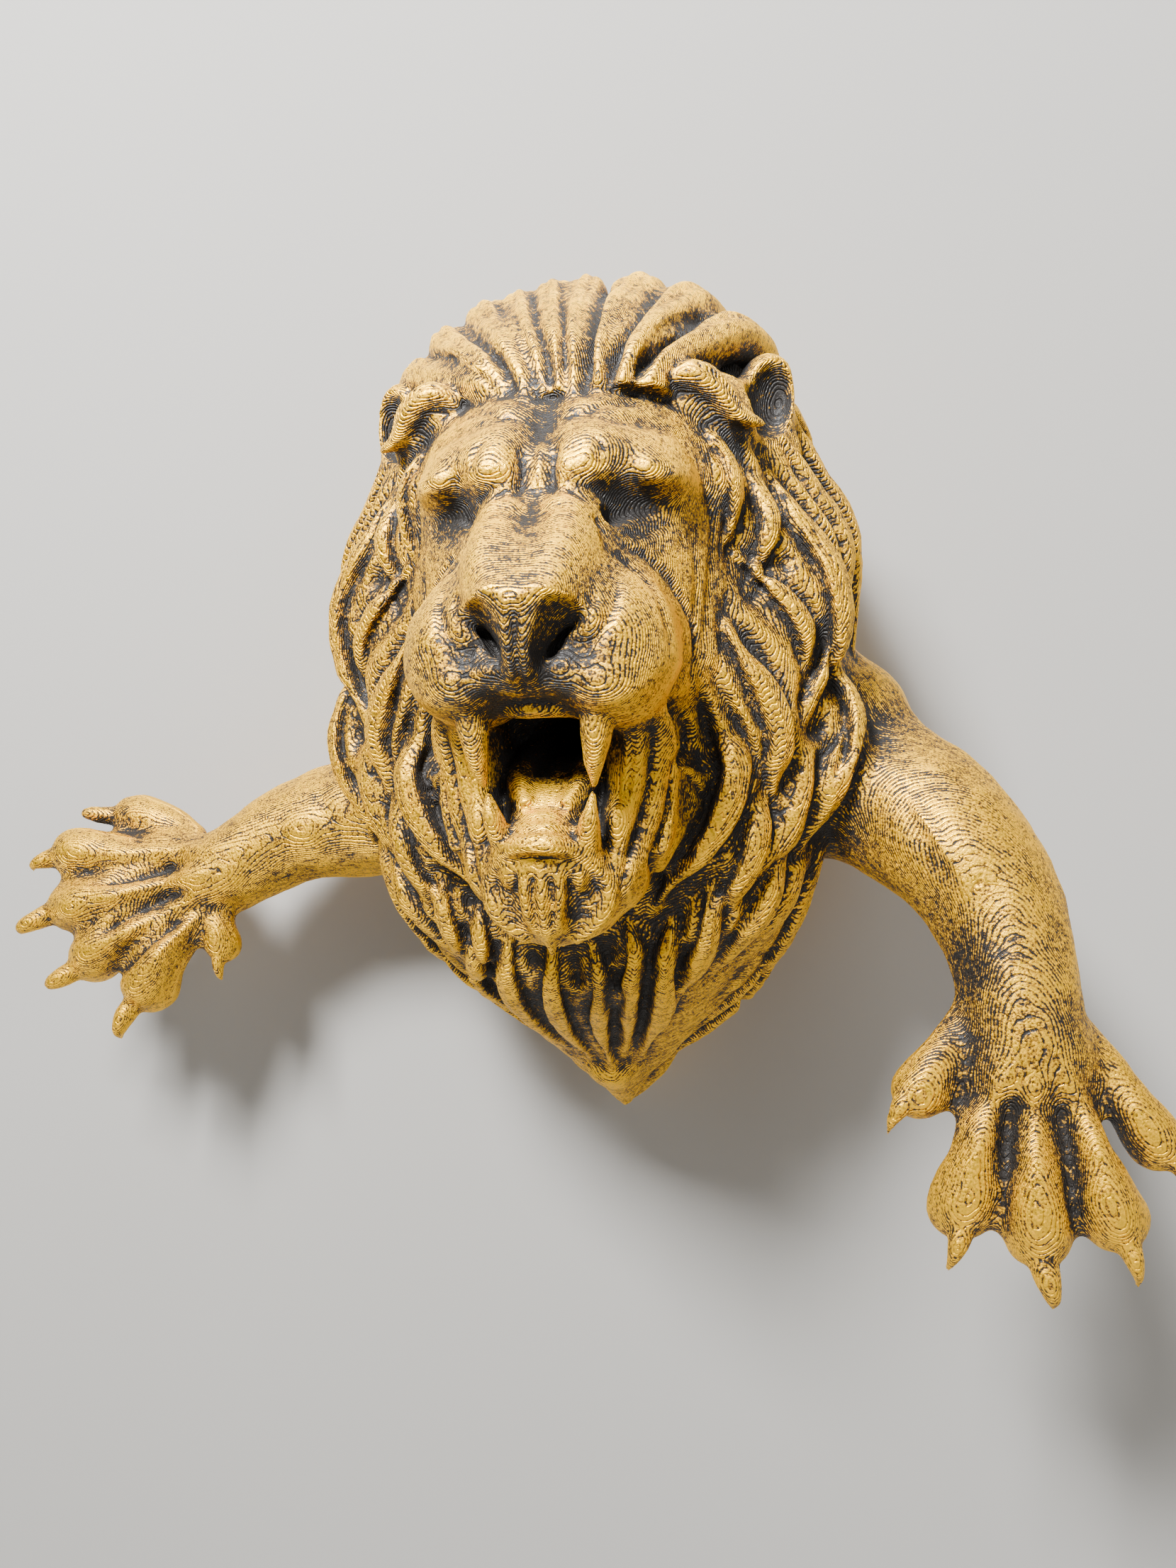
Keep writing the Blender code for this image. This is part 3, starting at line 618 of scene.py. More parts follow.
LEFT_PAW = Paw(toe_shape=(0.9, 0.84, 1.1, 1.04), toes=(
    ((-113, 27, -36), (-121, 25, -31.5), (-130, 24, -29), (-133, 23.5, -29), 6.0,
     (-141, 27, -28.3), (-144.5, 28, -27.8), (-147, 26, -28.6)),
    ((-118, 31, -42), (-132, 33, -38.8), (-144, 32.5, -38), (-145, 31, -38.8), 6.4,
     (-151, 34.5, -39.6), (-155, 35.5, -41), (-157.8, 32.5, -43)),
    ((-117, 33, -46), (-130, 37, -49), (-142, 35.5, -51.5), (-144, 33.5, -51.8), 6.8,
     (-151, 38, -54.8), (-155.5, 38.8, -57), (-158.8, 36, -59.3)),
    ((-114, 33, -50), (-125, 37.5, -56.5), (-134.5, 36.5, -63), (-137, 34.5, -65), 6.9,
     (-142.5, 39, -69.2), (-146.5, 39.5, -71.4), (-149.3, 37, -73)),
    ((-108, 33, -52), (-114, 37.5, -61.5), (-119.5, 37, -70), (-120.6, 35, -72), 7.0,
     (-124.3, 39.5, -78), (-126.3, 40, -82), (-127.8, 37, -85.5)),
    ((-103, 32, -49), (-101.5, 34.5, -55), (-100.5, 34.5, -60), (-100.3, 34, -61), 4.6,
     (-100.3, 36.8, -64.5), (-100, 37, -67.5), (-100.2, 35, -70)),
))


@dataclass
class Hair:
    """The locks of the mane, the beard and the crown.

    Each lock has its thickest radius and then the places it passes.
    """

    rise: float = 0.42
    sink: float = 0.9
    # the way a lock's crest faces where the lock doesn't lie on skin
    free_facing: Place = (0.0, -0.7, 0.7)
    ends: tuple[float, float, float, float] = (0.2, 2.6, 0.22, 1.7)
    filler_size: float = 0.78
    # half the width of the gaps between locks that are filled, in shares
    closing: float = 1.0
    swept_count: int = 16
    shoulder_angles: Spot = (70, 134)
    swept_angles: Spot = (4, 140)
    swept_depths: tuple[float, ...] = (62, 49, 35, 20, 6)
    swept_thickness: float = 5.4
    # every other one has this share of the thickness
    swept_thinner: float = 0.85
    swept_droop: float = 10
    swept_sway: float = 3.0
    mane_middle: float = 5
    mane_reach: float = 105
    # grooves along both sides of each lock and along both sides of its crest: how far
    # off its middle, how deep and how wide, as shares of its radius
    lock_grooves: tuple[Place, ...] = ((0.84, 0.38, 0.22), (0.26, 0.08, 0.14))
    tuft_grooves: tuple[Place, ...] = ((0.34, 0.13, 0.15),)
    # a groove is skipped where its lock is buried deeper than this
    groove_reach: float = 3.0
    # the spacing of its points as a share of its width
    groove_step: float = 0.6
    flank: tuple[tuple, ...] = (
        (3.6, (27, 80, 49), (31, 78, 41), (33, 77, 32), (32, 78, 23)),
        (3.6, (33, 76, 50), (38, 73, 41), (40, 73, 31), (38, 74, 22), (36, 75, 14)),
        (5.2, (39, 72, 44), (46, 69, 32), (51, 66, 20), (52, 65, 9), (48, 67, -3), (42, 68, -18)),
        (4.4, (42, 68, 50), (50, 64, 42), (56, 60, 31), (57, 59, 20), (55, 60, 10)),
        (5.4, (45, 62, 56), (53, 58, 46), (59, 53, 33), (61, 51, 20), (59, 53, 8)),
        (3.6, (33, 77, 27), (40, 73, 19), (46, 71, 12), (48, 69, 4), (46, 70, -4)),
        (4.8, (30, 78, 15), (34, 76, 5), (40, 72, -4), (42, 71, -12), (40, 70, -20),
         (37, 69, -31)),
        (5.2, (26, 80, 3), (31, 75, -9), (33, 73, -19), (28, 73, -31), (20, 72, -40),
         (15, 69, -49)),
        (3.0, (22, 84, -15), (25.5, 76, -20), (26, 74, -26), (23.5, 73, -33), (19, 72, -40)),
        (5.2, (50, 65, 7), (55, 62, -4), (53, 61, -16), (48, 61, -27), (43, 60, -37)),
        (4.2, (36, 72, -16), (38, 70, -26), (35, 69, -36), (29, 67, -46), (24, 62, -56)),
        (4.4, (30, 71, -36), (28, 69, -44), (26, 65, -52), (20, 57, -62), (15, 47, -73)),
        (4.4, (44, 64, -30), (38, 63, -42), (32, 60, -52), (26, 53, -62)),
        (4.6, (51, 54, -27), (48, 54, -38), (42, 50, -50), (35, 44, -61), (27, 37, -72),
         (17, 27, -83)),
    )
    beard: tuple[tuple, ...] = (
        (4.8, (22, 70, -45), (18, 65, -55), (16.5, 58, -64), (12, 46, -75), (8, 34, -87)),
        (4.6, (10, 72, -47), (12.5, 67, -54), (9.5, 59, -63), (7.5, 48, -73), (3, 36, -86)),
        (4.6, (3, 70, -52), (4.5, 61, -61), (1.5, 50, -71), (1, 35, -87)),
        (4.6, (-5, 68, -52), (-6, 60, -61), (-6.5, 48, -72), (-4, 35, -86)),
        (4.8, (-14, 70, -49), (-15.5, 62, -59), (-14.5, 50, -70), (-10, 34, -85)),
        (4.6, (-21, 70, -43), (-20, 65, -53), (-24, 54, -63), (-17, 42, -76)),
        (4.6, (44, 46, -46), (36, 38, -60), (26, 30, -74), (12, 22, -88)),
        (4.6, (-44, 46, -46), (-36, 38, -60), (-26, 30, -74), (-13, 22, -88)),
        (4.2, (46, 28, -44), (38, 22, -60), (26, 16, -76), (8, 11, -93)),
        (4.2, (-46, 28, -44), (-38, 22, -60), (-26, 16, -76), (-8, 11, -93)),
    )
    beard_tip: tuple[tuple, ...] = (
        (3.4, (4, 36, -80), (4, 28, -87), (2, 20, -94), (0, 14, -101)),
        (3.2, (-5, 36, -80), (-4.5, 28, -87), (-2, 20, -94), (0, 14, -101)),
        (3.0, (18, 27, -78), (11.5, 21, -86), (5.5, 16, -93.5), (0.5, 13, -100)),
        (3.0, (-18, 27, -78), (-11.5, 21, -86), (-5.5, 16, -93.5), (-0.5, 13, -100)),
    )
    # tufts that rise from the hairline and fan out over the crown: thickness, angle off
    # upright at the top in degrees, and how far the tuft bows to the right
    forelocks: tuple[Place, ...] = (
        (4.6, -44, 1), (5.4, -34, -1.5), (5.6, -23.5, 1), (4.6, -14, -1), (4.8, -6, 0.5),
        (4.6, 2, -0.5), (5.8, 15, -1.5), (6.4, 27, -2.5), (5.6, 39, -3),
    )
    forelock_ends: tuple[float, float, float, float] = (0.72, 0.6, 0.5, 1.9)
    hairline_middle: float = 4
    hairline_spread: float = 0.36
    hairline_up: float = 53.5
    hairline_forward: float = 85.5
    hairline_fall: float = 0.0014
    crown_radius: float = 53
    crown_middle: float = 30
    crown_forward: float = 62
    crown_steps: int = 4
    # how late a tuft spreads and how late it falls back on its way up, where 1 is evenly
    crown_bends: Spot = (1.4, 2)
    crown_roll: Spot = (19, 7)
    # the grooves between the tufts, of which those at some angles are deep
    gap_depth: float = 1.1
    gap_width: float = 0.8
    deep_gap_depth: float = 2.0
    deep_gap_width: float = 1.2
    deep_gap_angles: tuple[float, ...] = (8, 21, 33)
    curl_before_ear: tuple = (
        3.4, (20, 82, 55), (25, 82, 57.5), (30, 80.5, 55.5), (34.5, 78.5, 50.5),
        (39, 76.5, 48.8),
    )
    partings: list = field(default_factory=list)

    def lock(
        self,
        clay: Clay,
        tree: BVHTree | None,
        thickness: float,
        places: Sequence[Place],
        side: int = 1,
        ends: tuple[float, float, float, float] | None = None,
        grooves: tuple[Place, ...] = (),
    ) -> None:
        """Lays a tapered lock and notes where its grooves go.

        Args:
            clay: The clay to add to.
            tree: The skin it lies on, or None where it runs through the places as they are.
            thickness: Its thickest radius in shares.
            places: The places it passes.
            side: -1 for the other flank.
            ends: How it swells and tapers, where that isn't the usual way.
            grooves: How far off its middle, how deep and how wide each pair is.
        """
        root, swell, tip, taper = ends or self.ends
        middles = []
        radii = []
        faces = []
        for number, (across, forward, up) in enumerate(places):
            along = number / (len(places) - 1)
            fullness = min(root + swell * along, 1.0, tip + taper * (1 - along))
            middle = at(side * across, forward, up)
            outward = Vector(self.free_facing)
            if tree:
                skin, outward, *_ = tree.find_nearest(middle)
                rise = self.rise - self.sink * (1 - fullness)
                middle = skin + outward * (thickness * rise * SHARE)
            middles.append(middle)
            radii.append(thickness * fullness)
            faces.append(outward)
        clay.tube(middles, radii, round_end=True)
        self.note_partings(middles, radii, faces, thickness, grooves)

    def note_partings(
        self,
        middles: Sequence[Vector],
        radii: Sequence[float],
        faces: Sequence[Vector],
        thickness: float,
        grooves: tuple[Place, ...],
    ) -> None:
        """Notes the grooves that run down a lock, on either side of its crest."""
        for offset, depth, width in grooves:
            height = math.sqrt(1 - offset**2)
            for hand in (1, -1):
                line = []
                for number, (middle, radius, outward) in enumerate(zip(middles, radii, faces)):
                    before = middles[max(number - 1, 0)]
                    after = middles[min(number + 1, len(middles) - 1)]
                    along = (after - before).normalized()
                    sideways = along.cross(outward).normalized()
                    crest = sideways.cross(along).normalized()
                    if crest.dot(outward) < 0:
                        crest = -crest
                    aside = sideways * offset * hand + crest * height
                    line.append(middle + aside * radius * SHARE)
                self.partings.append((np.array(line), depth * thickness, width * thickness))

    def between(self, lock_a: tuple, lock_b: tuple) -> tuple:
        """Gives a thinner lock that fills the gap between two neighbours."""
        count = min(len(lock_a), len(lock_b)) - 1
        places = []
        for number in range(1, count + 1):
            pairs = zip(lock_a[number], lock_b[number])
            places.append(tuple((a + b) / 2 for a, b in pairs))
        return (min(lock_a[0], lock_b[0]) * self.filler_size, *places)

    def over_crown(self, angle: float, bow: float) -> list[Place]:
        """Gives the places of a tuft from the hairline up, over the crown and back.

        Args:
            angle: Its angle off upright at the top, in degrees.
            bow: How far it bows to the right halfway up, in shares.

        Returns:
            The places.
        """
        turn = math.radians(angle)
        root = (
            self.hairline_middle + self.hairline_spread * angle,
            self.hairline_forward - self.hairline_fall * angle**2,
            self.hairline_up,
        )
        top = (
            self.crown_radius * math.sin(turn),
            self.crown_forward,
            self.crown_middle + self.crown_radius * math.cos(turn),
        )
        spread, fall = self.crown_bends
        places = []
        for step in range(self.crown_steps + 1):
            rise = step / self.crown_steps
            shares = (rise**spread, rise**fall, rise)
            across, forward, up = (a + (b - a) * share for a, b, share in zip(root, top, shares))
            places.append((across + bow * math.sin(math.pi * rise), forward, up))
        back, down = self.crown_roll
        places.append((top[0] * 2 - places[-2][0], top[1] - back, top[2] - down))
        return places

    def crown_gaps(self) -> list[Stroke]:
        """Gives the strokes that part neighbouring tufts."""
        gaps = [(angle, self.deep_gap_depth, self.deep_gap_width) for angle in self.deep_gap_angles]
        for (_, angle, _), (_, following, _) in zip(self.forelocks, self.forelocks[1:]):
            gaps.append(((angle + following) / 2, self.gap_depth, self.gap_width))
        strokes = []
        for angle, depth, width in gaps:
            route = tuple((across, up) for across, _, up in self.over_crown(angle, 0)[:-1])
            strokes.append(Stroke(-depth, width, route, False))
        return strokes

    def sweep(self, clay: Clay, core_tree: BVHTree) -> None:
        """Lays the locks of the crown and sides, which sweep back and down to the wall."""
        first, last = self.swept_angles
        steps = len(self.swept_depths) - 1
        for number in range(self.swept_count):
            angle = first + (last - first) * number / (self.swept_count - 1)
            thickness = self.swept_thickness * (self.swept_thinner if number % 2 else 1.0)
            places = []
            for step, forward in enumerate(self.swept_depths):
                sway = self.swept_sway * math.sin(2 * step + number)
                turn = math.radians(angle + self.swept_droop * step / steps + sway)
                up = self.mane_middle + self.mane_reach * math.cos(turn)
                places.append((self.mane_reach * math.sin(turn), forward, up))
            low, high = self.shoulder_angles
            for side in (1, -1):
                if side < 0 or not low < angle < high:
                    self.lock(clay, core_tree, thickness, places, side, grooves=self.lock_grooves)

    def mane(self, clay: Clay, skin: bpy.types.Mesh, core: bpy.types.Mesh) -> None:
        """Lays the locks of flanks, beard and sides over the skin.

        Args:
            clay: The clay to add to.
            skin: The skin with the face on it.
            core: The mane without its locks.
        """
        tree = surface_tree(skin)
        fillers = [self.between(a, b) for a, b in zip(self.flank, self.flank[1:])]
        for side in (1, -1):
            for thickness, *places in self.flank:
                self.lock(clay, tree, thickness, places, side, grooves=self.lock_grooves)
            for thickness, *places in fillers:
                self.lock(clay, tree, thickness, places, side)
        for thickness, *places in self.beard:
            self.lock(clay, tree, thickness, places, grooves=self.lock_grooves)
        for thickness, *places in self.beard_tip:
            self.lock(clay, None, thickness, places, grooves=self.tuft_grooves)
        self.sweep(clay, surface_tree(core))

    def crown(self, clay: Clay) -> None:
        """Adds the curls before the ears and the tufts over the crown."""
        thickness, *places = self.curl_before_ear
        for side in (1, -1):
            self.lock(clay, None, thickness, places, side, grooves=self.tuft_grooves)
        for thickness, angle, bow in self.forelocks:
            places = self.over_crown(angle, bow)
            self.lock(clay, None, thickness, places, 1, self.forelock_ends, self.tuft_grooves)

    def part(self, skin: Skin) -> None:
        """Presses the noted grooves into the fused skin."""
        reach = self.groove_reach * SHARE
        for line, depth, width in self.partings:
            points = []
            for point in through(line, self.groove_step * width * SHARE):
                nearest = skin.tree.find_nearest(Vector(point), reach)[0]
                if nearest is not None:
                    points.append(nearest)
            skin.press(np.array(points), -depth, width)


FACE_STROKES = (
    # arcs over the whisker pads, from the inner corner of the eye out to the cheek
    Stroke(-0.9, 0.9, ((13, 22), (17, 19), (21, 15), (24, 9), (25, 3))),
    Stroke(-1.0, 0.9, ((12, 25), (17, 22.5), (22.5, 18), (26.5, 10), (27, 2), (25.5, -6))),
    # the groove down the septum, the wings of the nose and the folds outside them
    Stroke(-1.0, 0.6, ((0, 10.5), (0, 6), (0, 1), (0, -6)), False),
    Stroke(0.8, 1.0, ((3, 13.6), (7, 12.4), (11, 10.4), (12.6, 7.4))),
    Stroke(0.5, 0.9, ((12.6, 15.5), (13.4, 11), (12.2, 7), (9.8, 4.4))),
    Stroke(-0.5, 0.8, ((15.4, 18), (16, 11.5), (14.2, 6.4), (11, 2.4))),
    # wrinkles on the bridge and between the brows
    Stroke(-1.3, 0.9, ((3.4, 42), (2.7, 37), (3.4, 31.5))),
    Stroke(0.9, 0.9, ((0.3, 43), (0.2, 38), (0, 33.5)), False),
    Stroke(-0.6, 0.8, ((5, 33), (8, 31.4), (10.5, 29.4))),
    Stroke(-0.6, 0.7, ((9, 34), (11.5, 32), (13, 30))),
    Stroke(0.6, 1.2, ((2, 29), (5.5, 30.5), (9.5, 29))),
    Stroke(-0.5, 0.8, ((10, 43), (12, 40), (11.5, 36))),
    # folds under the eyes
    Stroke(-0.5, 0.8, ((13, 26), (17, 25.5), (21, 27), (25, 29.5))),
    Stroke(-0.4, 0.8, ((15, 23), (19, 22), (23.5, 24), (27, 28))),
    # forehead folds that rise from the notch
    Stroke(-0.6, 1.0, ((2.5, 47), (7, 48.5), (13, 50.5), (18, 51))),
    Stroke(-0.5, 1.0, ((2.5, 51), (7, 53), (12, 55))),
    # brows: a full lower edge, and the dip that parts them from the forehead
    Stroke(0.7, 2.2, ((4, 37.4), (8, 36.6), (13, 36.4))),
    Stroke(0.7, 2.2, ((18, 36.4), (22, 36.6), (26, 36))),
    Stroke(-0.9, 2.2, ((3, 48.5), (8, 48), (15, 46.6), (21, 46), (27, 43.6))),
    # lower lip and chin
    Stroke(-0.5, 0.6, ((-9, -33), (-5, -31), (0, -30.4), (5, -31), (9, -33)), False),
    Stroke(-0.7, 0.6, ((1.7, -36), (1.8, -41), (1.6, -47))),
    Stroke(-0.7, 0.6, ((4.8, -36), (5.2, -40), (4.6, -46))),
    # fur that sweeps from the temples past the cheeks
    Stroke(-0.5, 0.8, ((24, 46), (28, 38), (29.5, 28), (29, 16), (28, 4), (27, -8))),
    Stroke(-0.5, 0.8, ((28, 44), (31.5, 34), (32.5, 22), (31.5, 8), (30, -6))),
    Stroke(-0.5, 0.8, ((26, 30), (27, 20), (27, 10), (26.5, 0), (25, -12))),
    # skin folds beside the mouth
    Stroke(-1.3, 0.9, ((20, -8), (19.6, -16), (18, -25), (15, -35), (13.5, -42))),
    Stroke(-2.0, 1.2, ((24.6, -4), (24.2, -14), (22.4, -25), (19, -36), (16.5, -45))),
    Stroke(-0.7, 0.7, ((16.4, -9), (16.2, -16), (14.8, -24))),
)


LIMB_STROKES = tuple(
    Stroke(lift, width, route, False)
    for lift, width, *routes in (
        # the seam along the right foreleg
        (0.6, 0.9, ((66, -22), (71, -30), (77, -40))),
        # the tendons over its knuckles, and the dips between them
        (1.0, 2.0, ((84, -70), (80, -80), (77, -90)), ((88, -70), (88, -82), (88, -92)),
         ((92, -70), (97, -80), (100, -90))),
        (-1.2, 1.4, ((84, -78), (83, -88), (82.4, -102)), ((92.6, -78), (93.8, -88), (94.8, -102))),
        # the gap between the mane and the right shoulder
        (-2.4, 1.6, ((51, 12), (53.5, 0), (54.5, -12), (52, -20))),
        # the tendons over the left palm, and the dips between them
        (1.0, 2.0, ((-100, -36), (-118, -37), (-132, -38)), ((-100, -42), (-118, -46), (-132, -50)),
         ((-102, -46), (-116, -54), (-128, -61)), ((-102, -50), (-110, -59), (-116, -67))),
        (-1.6, 1.6, ((-108, -40), (-122, -43.5), (-134, -45.5)),
         ((-108, -46), (-120, -52), (-132, -59)), ((-106, -51), (-116, -60), (-127, -69))),
    )
    for route in routes
)


@dataclass(frozen=True)
class Smudge:
    """A patch where the black shows through the gold, as a ball in shares.

    A negative strength is a patch that was gilded more. Where both is true, the other
    side has its mirror image.
    """

    place: Place
    radius: float
    strength: float
    both: bool = False


SMUDGES = (
    Smudge((0, 92, 50), 11, 0.55),
    Smudge((0, 109, 0), 9, 0.7),
    Smudge((8, 104, 0), 9, 0.8),
    Smudge((-9, 104, 0), 9, 0.85),
    Smudge((15.5, 91, 30), 6, 0.95, True),
    Smudge((40, 68, 52), 5, 0.4, True),
    Smudge((0, 64, -12), 9, 0.8),
    Smudge((0, 86, -22), 8, -1.5),
    Smudge((14, 90, -20), 7, -0.6, True),
    Smudge((60, 50, -12), 9, 0.85),
    Smudge((66, 52, -32), 9, 0.8),
    Smudge((97, 56, -44), 8, 0.9),
    Smudge((100, 58, -58), 7, 0.95),
    Smudge((78, 68, -54), 9, 0.95),
    Smudge((92, 76, -64), 7, 0.5),
    Smudge((77, 66, -70), 8, 0.9),
    Smudge((-60, 30, -22), 12, 0.45),
    Smudge((-95, 20, -52), 12, 0.6),
    Smudge((-137, 20, -30), 9, 0.8),
    Smudge((-114, 34, -60), 9, 0.4),
    Smudge((0, 60, -62), 12, 0.25),
)


class Paint:
    """Where the gold brush reached: written on the mesh for the finish to read."""

    DIRECTIONS = 40
    QUICK_DIRECTIONS = 14
    REACH = 16.0
    START = 0.25
    DIP_PASSES = 20
    DIP_DEPTH = 0.6
    OPEN_LIMITS = (0.32, 0.86)
    LEAST_FACING = 0.1
    DIP_LOSS = 0.8
    SMUDGE_LOSS = 0.85

    def __init__(self, mesh: bpy.types.Mesh) -> None:
        """Reads a finished mesh."""
        self.mesh = mesh
        self.skin = Skin(mesh)
        edges = np.empty(len(mesh.edges) * 2, np.int64)
        mesh.edges.foreach_get("vertices", edges)
        self.edges = edges.reshape(-1, 2)
        self.degree = np.bincount(self.edges.ravel(), minlength=len(mesh.vertices))

    def averaged(self, values: np.ndarray) -> np.ndarray:
        """Gives each vertex the mean of its own value and its neighbours' mean."""
        first, second = self.edges.T
        total = np.zeros_like(values)
        np.add.at(total, first, values[second])
        np.add.at(total, second, values[first])
        mean = total / np.maximum(self.degree, 1).reshape(-1, *[1] * (values.ndim - 1))
        return (values + mean) / 2

    def openness(self) -> np.ndarray:
        """Gives the share of the sky that each vertex sees within REACH."""
        count = self.DIRECTIONS
        directions = []
        for number in range(count):
            up = 1 - (2 * number + 1) / count
            turn = math.pi * (3 - math.sqrt(5)) * number
            flat = math.sqrt(1 - up * up)
            directions.append(Vector((flat * math.cos(turn), flat * math.sin(turn), up)))
        reach = self.REACH * SHARE
        cast = self.skin.tree.ray_cast
        seen = np.zeros(len(self.skin.places))
        for number, (place, normal) in enumerate(zip(self.skin.places, self.skin.outward)):
            outward = Vector(normal)
            start = Vector(place) + outward * (self.START * SHARE)
            free = 0.0
            whole = 0.0
            for direction in directions:
                facing = outward.dot(direction)
                if facing > self.LEAST_FACING:
                    whole += facing
                    if cast(start, direction, reach)[0] is None:
                        free += facing
            seen[number] = free / whole if whole else 1.0
        return seen

    def dips(self) -> np.ndarray:
        """Gives how far each vertex lies below the skin around it, from -1 to 1."""
        smooth = self.skin.places.astype(float)
        for _ in range(self.DIP_PASSES):
            smooth = self.averaged(smooth)
        below = np.sum((smooth - self.skin.places) * self.skin.outward, axis=1)
        return np.clip(below / (self.DIP_DEPTH * SHARE), -1, 1)

    def smudged(self) -> np.ndarray:
        """Gives how much of the gold is missing in the smudges, from 0 to 1."""
        bare = np.zeros(len(self.skin.places))
        for smudge in SMUDGES:
            across, forward, up = smudge.place
            for side in sides(smudge.both):
                middle = np.array(at(side * across, forward, up))
                apart = np.linalg.norm(self.skin.places - middle, axis=1)
                fade = np.exp(-((apart / (smudge.radius * SHARE)) ** 2))
                bare = 1 - (1 - bare) * (1 - smudge.strength * fade)
        return bare

    def write(self) -> None:
        """Writes the attributes cover and ridge on the mesh's vertices."""
        low, high = self.OPEN_LIMITS
        seen = self.averaged(self.averaged(self.openness()))
        reached = np.clip((seen - low) / (high - low), 0, 1)
        dips = self.averaged(self.dips())
        cover = reached * (1 - self.DIP_LOSS * np.clip(dips, 0, 1))
        cover *= 1 - self.SMUDGE_LOSS * self.smudged()
        for name, values in (("cover", cover), ("ridge", np.clip(-dips, 0, 1))):
            attribute = self.mesh.attributes.new(name, "FLOAT", "POINT")
            attribute.data.foreach_set("value", values.astype(np.float32))


def add_node(
    tree: bpy.types.NodeTree, kind: str, inputs: dict | tuple = (), **settings: str
) -> bpy.types.Node:
    """Adds a shader node with its settings and links.

    Args:
        tree: The node tree.
        kind: The node's type, without the leading ShaderNode.
        inputs: Values for its inputs, or the sockets that feed them, by name or in turn.
        settings: Values for its properties.

    Returns:
        The node.
    """
    node = tree.nodes.new("ShaderNode" + kind)
    for name, value in settings.items():
        setattr(node, name, value)
    for name, value in inputs.items() if isinstance(inputs, dict) else enumerate(inputs):
        if isinstance(value, bpy.types.NodeSocket):
            tree.links.new(value, node.inputs[name])
        else:
            node.inputs[name].default_value = value
    return node


@dataclass(frozen=True)
class Grain:
    """A random pattern whose grains have a real size.

    Attributes:
        size_mm: The size of its grains.
        detail: How many finer sizes are laid over them.
        swing: How far it swings in all, evenly about zero.
    """

    size_mm: float
    detail: float
    swing: float

    def laid_over(
        self, tree: bpy.types.NodeTree, place: bpy.types.NodeSocket
    ) -> bpy.types.NodeSocket:
        """Lays the pattern over a piece and gives its swing."""
        scale = 1 / (self.size_mm * MILLIMETRE)
        inputs = {"Vector": place, "Scale": scale, "Detail": self.detail}
        grains = add_node(tree, "TexNoise", inputs).outputs["Fac"]
        centred = (grains, self.swing, -self.swing / 2)
        return add_node(tree, "Math", centred, operation="MULTIPLY_ADD").outputs[0]


